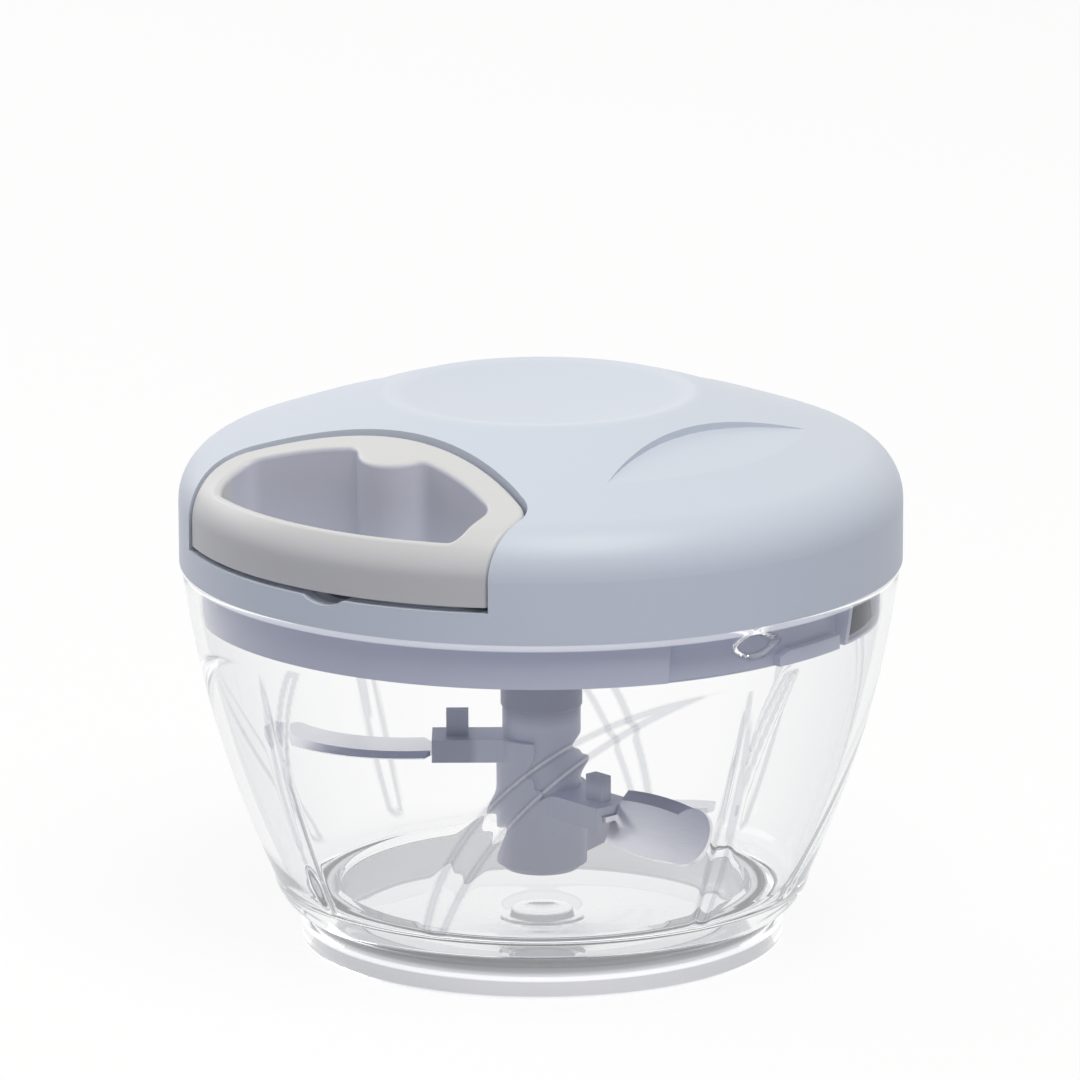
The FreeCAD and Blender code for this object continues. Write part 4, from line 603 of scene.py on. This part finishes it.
def braid(name, colour):
    """Braided cord: two sets of diagonal strands as crossing waves."""
    material, tree, shader = fresh_material(name)
    place = tree.nodes.new("ShaderNodeTexCoord").outputs["Object"]
    strands = []
    for way in (1.0, -1.0):
        turned = new_node(tree, "ShaderNodeMapping", Vector=place,
                          Rotation=[way * tilt for tilt in STRAND_TILT])
        wave = new_node(tree, "ShaderNodeTexWave", Vector=turned.outputs[0],
                        Scale=STRAND_SCALE, Distortion=0.5)
        strands.append(wave.outputs["Fac"])
    woven = maths(tree, "MAXIMUM", *strands)
    relief = new_node(tree, "ShaderNodeBump", Strength=0.8, Distance=STRAND_DEPTH * MM,
                      Height=woven)
    # painted shade in the gaps between the strands
    shaded = [c * STRAND_SHADE for c in colour]
    set_up(tree, shader, Roughness=0.8, Base_Color=mixed(tree, woven, shaded, colour),
           Normal=relief.outputs["Normal"])
    return material


cord_braid = braid("cord_braid", (0.75, 0.75, 0.73))
print("cord:", cord_braid.name)

# %% [markdown]
# ## Clear plastic
# Clear plastic is seen by what it bends and by the light that runs inside its wall and comes out
# at its edges. A ray tracer follows such light only for some turns, and then gives black. So a ray
# that has turned too often gets the light of the room as a glow, the edges get painted glowing
# lines at set heights, and the surface gets painted grey shade where it turns edge-on and on the
# sides of the ribs, standing in for the light that it bends away; the ribs' crests get a painted
# glow. The refraction is set lower than in real styrene for the same reason, so the wall bends
# less than it should.

# %% Clear plastic
CLEAR_IOR = 1.22
EDGE_BLEND = 0.25                   # how early the painted grey shade begins as the surface turns edge-on
# painted grey shade where the clear wall turns edge-on
EDGE_ON_SHADE = (0.74, 0.75, 0.77)
# lines of painted glow at the rim and the foot: low, high, soft edge, strength
EDGE_LINES = ((69.9, 70.5, 0.4, 0.32), (4.2, 4.7, 0.3, 0.35), (0.7, 1.1, 0.3, 0.35))
OUTER_WALL = (42.6, 70.0, 0.2)      # radii between which the lines lie
# painted grey shade on the sides of the ribs and the outlines of the lugs
RIB_SIDE_SHADE = (0.28, 0.29, 0.32)
# painted glow on the crests of the ribs' sides
RIB_GLOW = (0.28, 0.28, 0.30)
GLOW_FROM, GLOW_SHARE = 0.55, 0.8   # mark from which a rib's side glows, and how much it may
TRAPPED_AFTER = 5                   # bounces after which a ray counts as trapped
TRAPPED_GLOW = (0.46, 0.465, 0.48)  # light of the room that such a ray gets


def clear(name):
    """Clear plastic: full transmission, painted grey shade where the surface turns edge-on, and
    light that passes straight through to what is inside. EDGE_LINES are lines of painted glow,
    each with its low and high limit in mm, soft edge and strength. The attribute rib_side marks
    the sides of the ribs, which get painted grey shade and, at their crests, a painted glow."""
    material, tree, shader = fresh_material(name)
    # painted grey shade where the surface turns edge-on
    edge_on = new_node(tree, "ShaderNodeLayerWeight", Blend=EDGE_BLEND).outputs["Facing"]
    set_up(tree, shader, Transmission_Weight=1.0, Roughness=0.0, IOR=CLEAR_IOR,
           Emission_Strength=1.0, Base_Color=mixed(tree, edge_on, WHITE, EDGE_ON_SHADE))
    # lines of painted glow at set heights
    for low, high, soft, strength in EDGE_LINES:
        line = where(tree, Height=(low, high, soft), Radius=OUTER_WALL)
        repaint(material, "Emission Color", (strength, strength, strength), line)
    # painted grey shade on the ribs' sides, and a painted glow at their crests
    rib_side = new_node(tree, "ShaderNodeAttribute", attribute_name="rib_side").outputs["Fac"]
    repaint(material, "Base Color", RIB_SIDE_SHADE, rib_side)
    crest = new_node(tree, "ShaderNodeMapRange", interpolation_type="SMOOTHSTEP",
                     Value=rib_side, From_Min=GLOW_FROM, To_Max=GLOW_SHARE)
    repaint(material, "Emission Color", RIB_GLOW, crest.outputs[0])

    path = tree.nodes.new("ShaderNodeLightPath").outputs
    trapped = maths(tree, "GREATER_THAN", path["Ray Depth"], TRAPPED_AFTER + 0.5)
    glow = new_node(tree, "ShaderNodeEmission", Color=TRAPPED_GLOW, Strength=1.0)
    solid = either(tree, trapped, shader.outputs[0], glow.outputs[0])
    passing = maths(tree, "MAXIMUM", path["Is Shadow Ray"], path["Is Diffuse Ray"])
    empty = tree.nodes.new("ShaderNodeBsdfTransparent")
    look = either(tree, passing, solid, empty.outputs[0])
    feed(tree, tree.nodes["Material Output"].inputs["Surface"], look)
    return material


clear_plastic = clear("clear_plastic")
print("clear:", clear_plastic.name)

# %% [markdown]
# ## Dressing the carried-over pieces
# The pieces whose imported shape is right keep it, and each gets its own finish.

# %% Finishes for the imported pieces
FINISHES = (
    (lid_plastic, ("lid_cover",)),
    (base_plastic, ("lid_base",)),
    (handle_plastic, ("handle", "knot_cap")),
    (hub_plastic, ("blade_hub",)),
    (foot_rubber, ("foot_ring",)),
    (seal_silicone, ("seal_ring", "grip_ring")),
    (inner_plastic, ("cord_drum", "spring_housing", "cord_eyelet", "thrust_washer",
                     "output_bush")),
    (clutch_plastic, ("clutch_arms", "output_spindle")),
    (blade_steel, ("blade_upper", "blade_middle", "blade_lower")),
    (fastener_steel, ("lid_screws", "axle", "housing_screws", "spindle_clip", "cord_ferrule")),
    (spring_steel, ("recoil_spring",)),
    (cord_braid, ("cord_wound", "cord_run", "cord_tail")),
    (clear_plastic, ("bowl",)),
)

for finish, names in FINISHES:
    for name in names:
        nodes[name].data.materials.clear()
        nodes[name].data.materials.append(finish)
print("dressed", sum(len(names) for _, names in FINISHES), "of", len(nodes))

# %% [markdown]
# ## The bowl's profile
# The real bowl is one moulding: a tapered wall, a rounded base, a neck on a hollow foot, and a
# sunken floor with a small post in its middle. It could be put together from a cone, a disc and
# some rings, but clear pieces show every seam, so one profile turned about the axis gives all of
# it. The profile starts under the middle, goes out and up the outside, and comes back inside.

# %% Bowl profile
RIM_R, RIM_Z = 64.6, 70.6           # outside radius and height of the rim
BASE_R, BASE_Z = 48.9, 14.0         # outside radius and height where the wall meets the base
WALL_BULGE, WALL = 2.3, 2.1         # bow of the wall, and its thickness
OUTSIDE_STEPS, INSIDE_STEPS = 12, 118
NECK_R, NECK_Z = 42.6, 6.3          # where the rounded base ends on the neck
LEDGE_Z, FLOOR_Z, CUP_R = 11.0, 3.0, 36.5
LEDGE_IN, LEDGE_BOW = 5.2, 1.73     # width of the rounded ledge inside, to its end and middle


def wall_line(inset, steps):
    """The arc of the bowl's wall from base to rim, moved inwards by an inset."""
    rise = math.hypot(RIM_R - BASE_R, RIM_Z - BASE_Z)
    out_r, out_z = (RIM_Z - BASE_Z) / rise, -(RIM_R - BASE_R) / rise
    base = (BASE_R - inset * out_r, BASE_Z - inset * out_z)
    bow = WALL_BULGE - inset
    middle = ((BASE_R + RIM_R) / 2 + bow * out_r, (BASE_Z + RIM_Z) / 2 + bow * out_z)
    return arc_through(base, middle, (RIM_R - inset / out_r, RIM_Z), steps)


outside = wall_line(0.0, OUTSIDE_STEPS)
inside = wall_line(WALL, INSIDE_STEPS)[::-1]
under = rounded([
    (0, 1.0), (38.0, 1.0, 0.5), (38.0, 9.0, 0.4), (41.1, 9.0, 0.4), (41.1, 0.6, 0.3),
    (43.7, 0.6, 0.7), (43.7, 4.7, 0.7), (NECK_R, 5.1, 0.3), (NECK_R, NECK_Z),
], 3)
base_arc = arc_through((NECK_R, NECK_Z), (46.8, 9.1), (BASE_R, BASE_Z), 7)
rim_arc = rounded([
    outside[-1] - [0.0, 0.7], (*outside[-1], 0.6), (*inside[0], 0.6), inside[0] - [0.25, 0.7],
], 4)
in_base = inside[-1]
ledge_end = in_base * [1, 0] + [-LEDGE_IN, LEDGE_Z + 0.2]
ledge_middle = (in_base[0] - LEDGE_BOW, (in_base[1] + ledge_end[1]) / 2 - 1.0)
ledge_arc = arc_through(in_base, ledge_middle, ledge_end, 8)
cup = rounded([
    ledge_end, (37.0, LEDGE_Z, 0.8), (CUP_R, 10.4, 0.6), (CUP_R, FLOOR_Z, 2.5),
    (7.7, FLOOR_Z, 0.2), (7.3, 3.6, 0.2), (5.85, 3.6, 0.2), (5.55, 5.2, 0.3), (3.65, 5.2, 0.3),
    (0, 4.3),
], 3)
outer_side = np.concatenate([under, base_arc[1:], outside[1:-1], rim_arc])
ribbed_side = np.concatenate([inside[1:], ledge_arc[1:]])
profile = np.concatenate([outer_side, ribbed_side, cup[1:]])
on_inside = np.repeat([0.0, 1.0, 0.0], [len(outer_side), len(ribbed_side), len(cup) - 1])
print("bowl profile:", len(profile), "points")

# %% [markdown]
# ## Ribs and lugs
# Low ribs inside the wall throw the food back to the blades: slim leaves, shoots that branch off
# them, and long swirls. They could be separate pieces, but two touching clear solids show a false
# surface between them. So the wall's inside is moved inwards where a rib lies. Every rib is the
# space between two circles drawn on the wall, with soft sides, and so are the two bayonet lugs.

# %% Circles that bound the ribs and lugs
RIB_COUNT, LUG_COUNT = 4, 2
RIB_H = 0.32                        # how far a rib stands in
FADE_FROM, FADE_OVER = 10.8, 3.0    # height where the ribs begin, and over which they grow
LUG_Z, LUG_REACH = 67.0, 59.9       # height of the lugs, and how near the axis they come
LUG_SOFT, LUG_MARK = 0.7, 1.6       # width of a lug's soft side, and of its outline painted with grey shade
RIB_TURN, SWIRL_TURN, LUG_TURN = 77.5, 41.0, 78.1

leaf_right = circle_through((0.9, 9.5), (1.7, 33.0), (0.0, 56.5))
leaf_left = circle_through((-0.9, 9.5), (-1.7, 33.0), (0.0, 56.5))
shoot_right = circle_through((0.9, 32.5), (3.65, 46.5), (9.6, 59.9))
shoot_left = circle_through((0.9, 32.5), (2.0, 47.3), (8.16, 60.5))
swirl_low = circle_through((-18.3, 9.5), (1.65, 44.0), (24.8, 58.3))
swirl_top = circle_through((-20.6, 9.5), (-1.65, 46.9), (24.8, 58.3))
lug_low = circle_through((-4.5, LUG_Z), (0.0, LUG_Z - 2.05), (4.5, LUG_Z))
lug_top = circle_through((-4.5, LUG_Z), (0.0, LUG_Z + 2.05), (4.5, LUG_Z))

# Turn, the circle that the rib lies in, the other one, 1 if it lies in that too and -1 if not,
# lowest and highest place, width of the soft side.
RIBS = (
    (RIB_TURN, leaf_right, leaf_left, 1.0, 0.0, 58.0, 2.0),
    (RIB_TURN, shoot_left, shoot_right, -1.0, 30.0, 60.4, 2.0),
    (SWIRL_TURN, swirl_top, swirl_low, -1.0, 0.0, 58.6, 2.4),
)
print("ribs:", RIB_COUNT * len(RIBS), "lugs:", LUG_COUNT)

# %% [markdown]
# ## The bowl
# The profile is turned about the axis in steps that are fine enough to carry the ribs, and the
# ribs' sides are marked on the points, so that the clear finish can paint grey shade and a glow on
# them.

# %% Bowl
BOWL_COLUMNS = 450


def depth_in(side, z, circle):
    """How far a place lies inside a circle drawn on the wall (negative outside it)."""
    centre, radius = circle
    return radius - np.hypot(side - centre[0], z - centre[1])


def soft_step(value):
    """0 below 0, 1 above 1, and a smooth rise between."""
    value = np.clip(value, 0.0, 1.0)
    return value * value * (3 - 2 * value)


def ribs(r, z, t):
    """Inward move of each point of the wall's inside. A rib is min(inside one circle, outside or
    inside the other), made soft; sideways distance on the wall is r sin(t - turn of the rib)."""
    moved, side_mark = np.zeros_like(r), np.zeros_like(r)
    fade = soft_step((z - FADE_FROM) / FADE_OVER)
    for turn, first, second, sign, lowest, highest, soft in RIBS:
        for k in range(RIB_COUNT):
            angle = t - math.radians(turn + 360.0 / RIB_COUNT * k)
            side = r * np.sin(angle)
            depth = np.minimum(depth_in(side, z, first), sign * depth_in(side, z, second))
            depth = np.minimum(depth, np.minimum(highest - z, z - lowest))
            rise = (np.cos(angle) > 0.5) * fade * soft_step(depth / soft + 0.5)
            moved = np.maximum(moved, RIB_H * rise)
            side_mark = np.maximum(side_mark, (4 * rise * (1 - rise)) ** 2 * fade)
    for k in range(LUG_COUNT):
        angle = t - math.radians(LUG_TURN + 360.0 / LUG_COUNT * k)
        side, near = r * np.sin(angle), np.cos(angle) > 0
        depth = np.minimum(depth_in(side, z, lug_low), depth_in(side, z, lug_top))
        moved = np.maximum(moved, (r - LUG_REACH) * near * soft_step(depth / LUG_SOFT + 0.5))
        rise = near * soft_step(depth / LUG_MARK + 0.5)
        side_mark = np.maximum(side_mark, 4 * rise * (1 - rise))
    return moved * on_inside[:, None], {"rib_side": side_mark * on_inside[:, None]}


bowl = around("clear_bowl", profile, BOWL_COLUMNS, dent=ribs, smooth_angle=80.0)
bowl.data.materials.append(clear_plastic)
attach(bowl, "bowl")
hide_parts("bowl")

# %% [markdown]
# ## Foot ring and seal
# The foot is a soft ring pressed into the groove under the bowl, and the seal is a flat ring
# between rim and lid. Both could be bent from a strip, but a ring that is moulded in one has no
# joint, so each is a closed section turned about the axis.

# %% Rings
RING_COLUMNS = 180


def flat_ring(inner, outer, low, high, start, low_edge, high_edge):
    """The closed section of a flat ring, from a start height on its inside round by the bottom.
    The edges are the radii of its lower and upper corners."""
    return rounded([
        (inner, start), (inner, low, low_edge), (outer, low, low_edge),
        (outer, high, high_edge), (inner, high, high_edge), (inner, start),
    ])[:-1]


foot_line = flat_ring(38.1, 41.0, 0.0, 8.9, start=4.5, low_edge=0.6, high_edge=0.4)
seal_line = flat_ring(59.7, 63.7, 70.9, 72.3, start=71.6, low_edge=0.2, high_edge=0.2)
for label, line, finish, body, node, slot in (
    ("foot_ring_soft", foot_line, foot_rubber, "bowl", "foot_ring", "foot_rubber"),
    ("seal_soft", seal_line, seal_silicone, "seal", "seal_ring", "seal_silicone"),
):
    ring = around(label, line, RING_COLUMNS, closed_rows=True)
    ring.data.materials.append(finish)
    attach(ring, body)
    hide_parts(node)

# %% [markdown]
# ## The cord between lid and handle
# This end of the cord is a tube whose surface rises and falls where its strands cross. It is
# fixed in the handle and comes out of the lid, so it has to grow when the handle is pulled, and a
# rigid piece would leave a gap or stick out. Here the tube is built once, not attached to any
# body, and the imported cord_tail is hidden.

# %% Cord lead
CORD_Z, CORD_R = 84.0, 0.9              # height of the cord's middle, and its radius
STRANDS, TWISTS, STRAND_H = 6, 1.6, 0.08    # strands, turns over the length, share of the radius
LEAD_FROM, LEAD_TO = -34.2, -42.1       # where the tube begins and ends
LEAD_ROWS, LEAD_COLUMNS = 80, 36

along = np.concatenate([[0.0], np.linspace(0.0, 1.0, LEAD_ROWS), [1.0]])[:, None]
t = np.linspace(0, 2 * np.pi, LEAD_COLUMNS, endpoint=False)[None, :]
y = LEAD_FROM + (LEAD_TO - LEAD_FROM) * along + 0.0 * t
twist = 2 * np.pi * TWISTS * along
weave = np.abs(np.sin(STRANDS / 2 * (t + twist)) * np.sin(STRANDS / 2 * (t - twist)))
r = CORD_R * (1 - STRAND_H * weave)
r[0], r[-1] = 0.0, 0.0
lead = sewn("cord_lead", r * np.cos(t), y, CORD_Z + r * np.sin(t))
lead.data.materials.append(cord_braid)
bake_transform(lead)
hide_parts("cord_tail")

# %% [markdown]
# ## Close the scene
# The colours are shown with the Standard view transform.

# %% Finish
bpy.context.scene.view_settings.view_transform = "Standard"
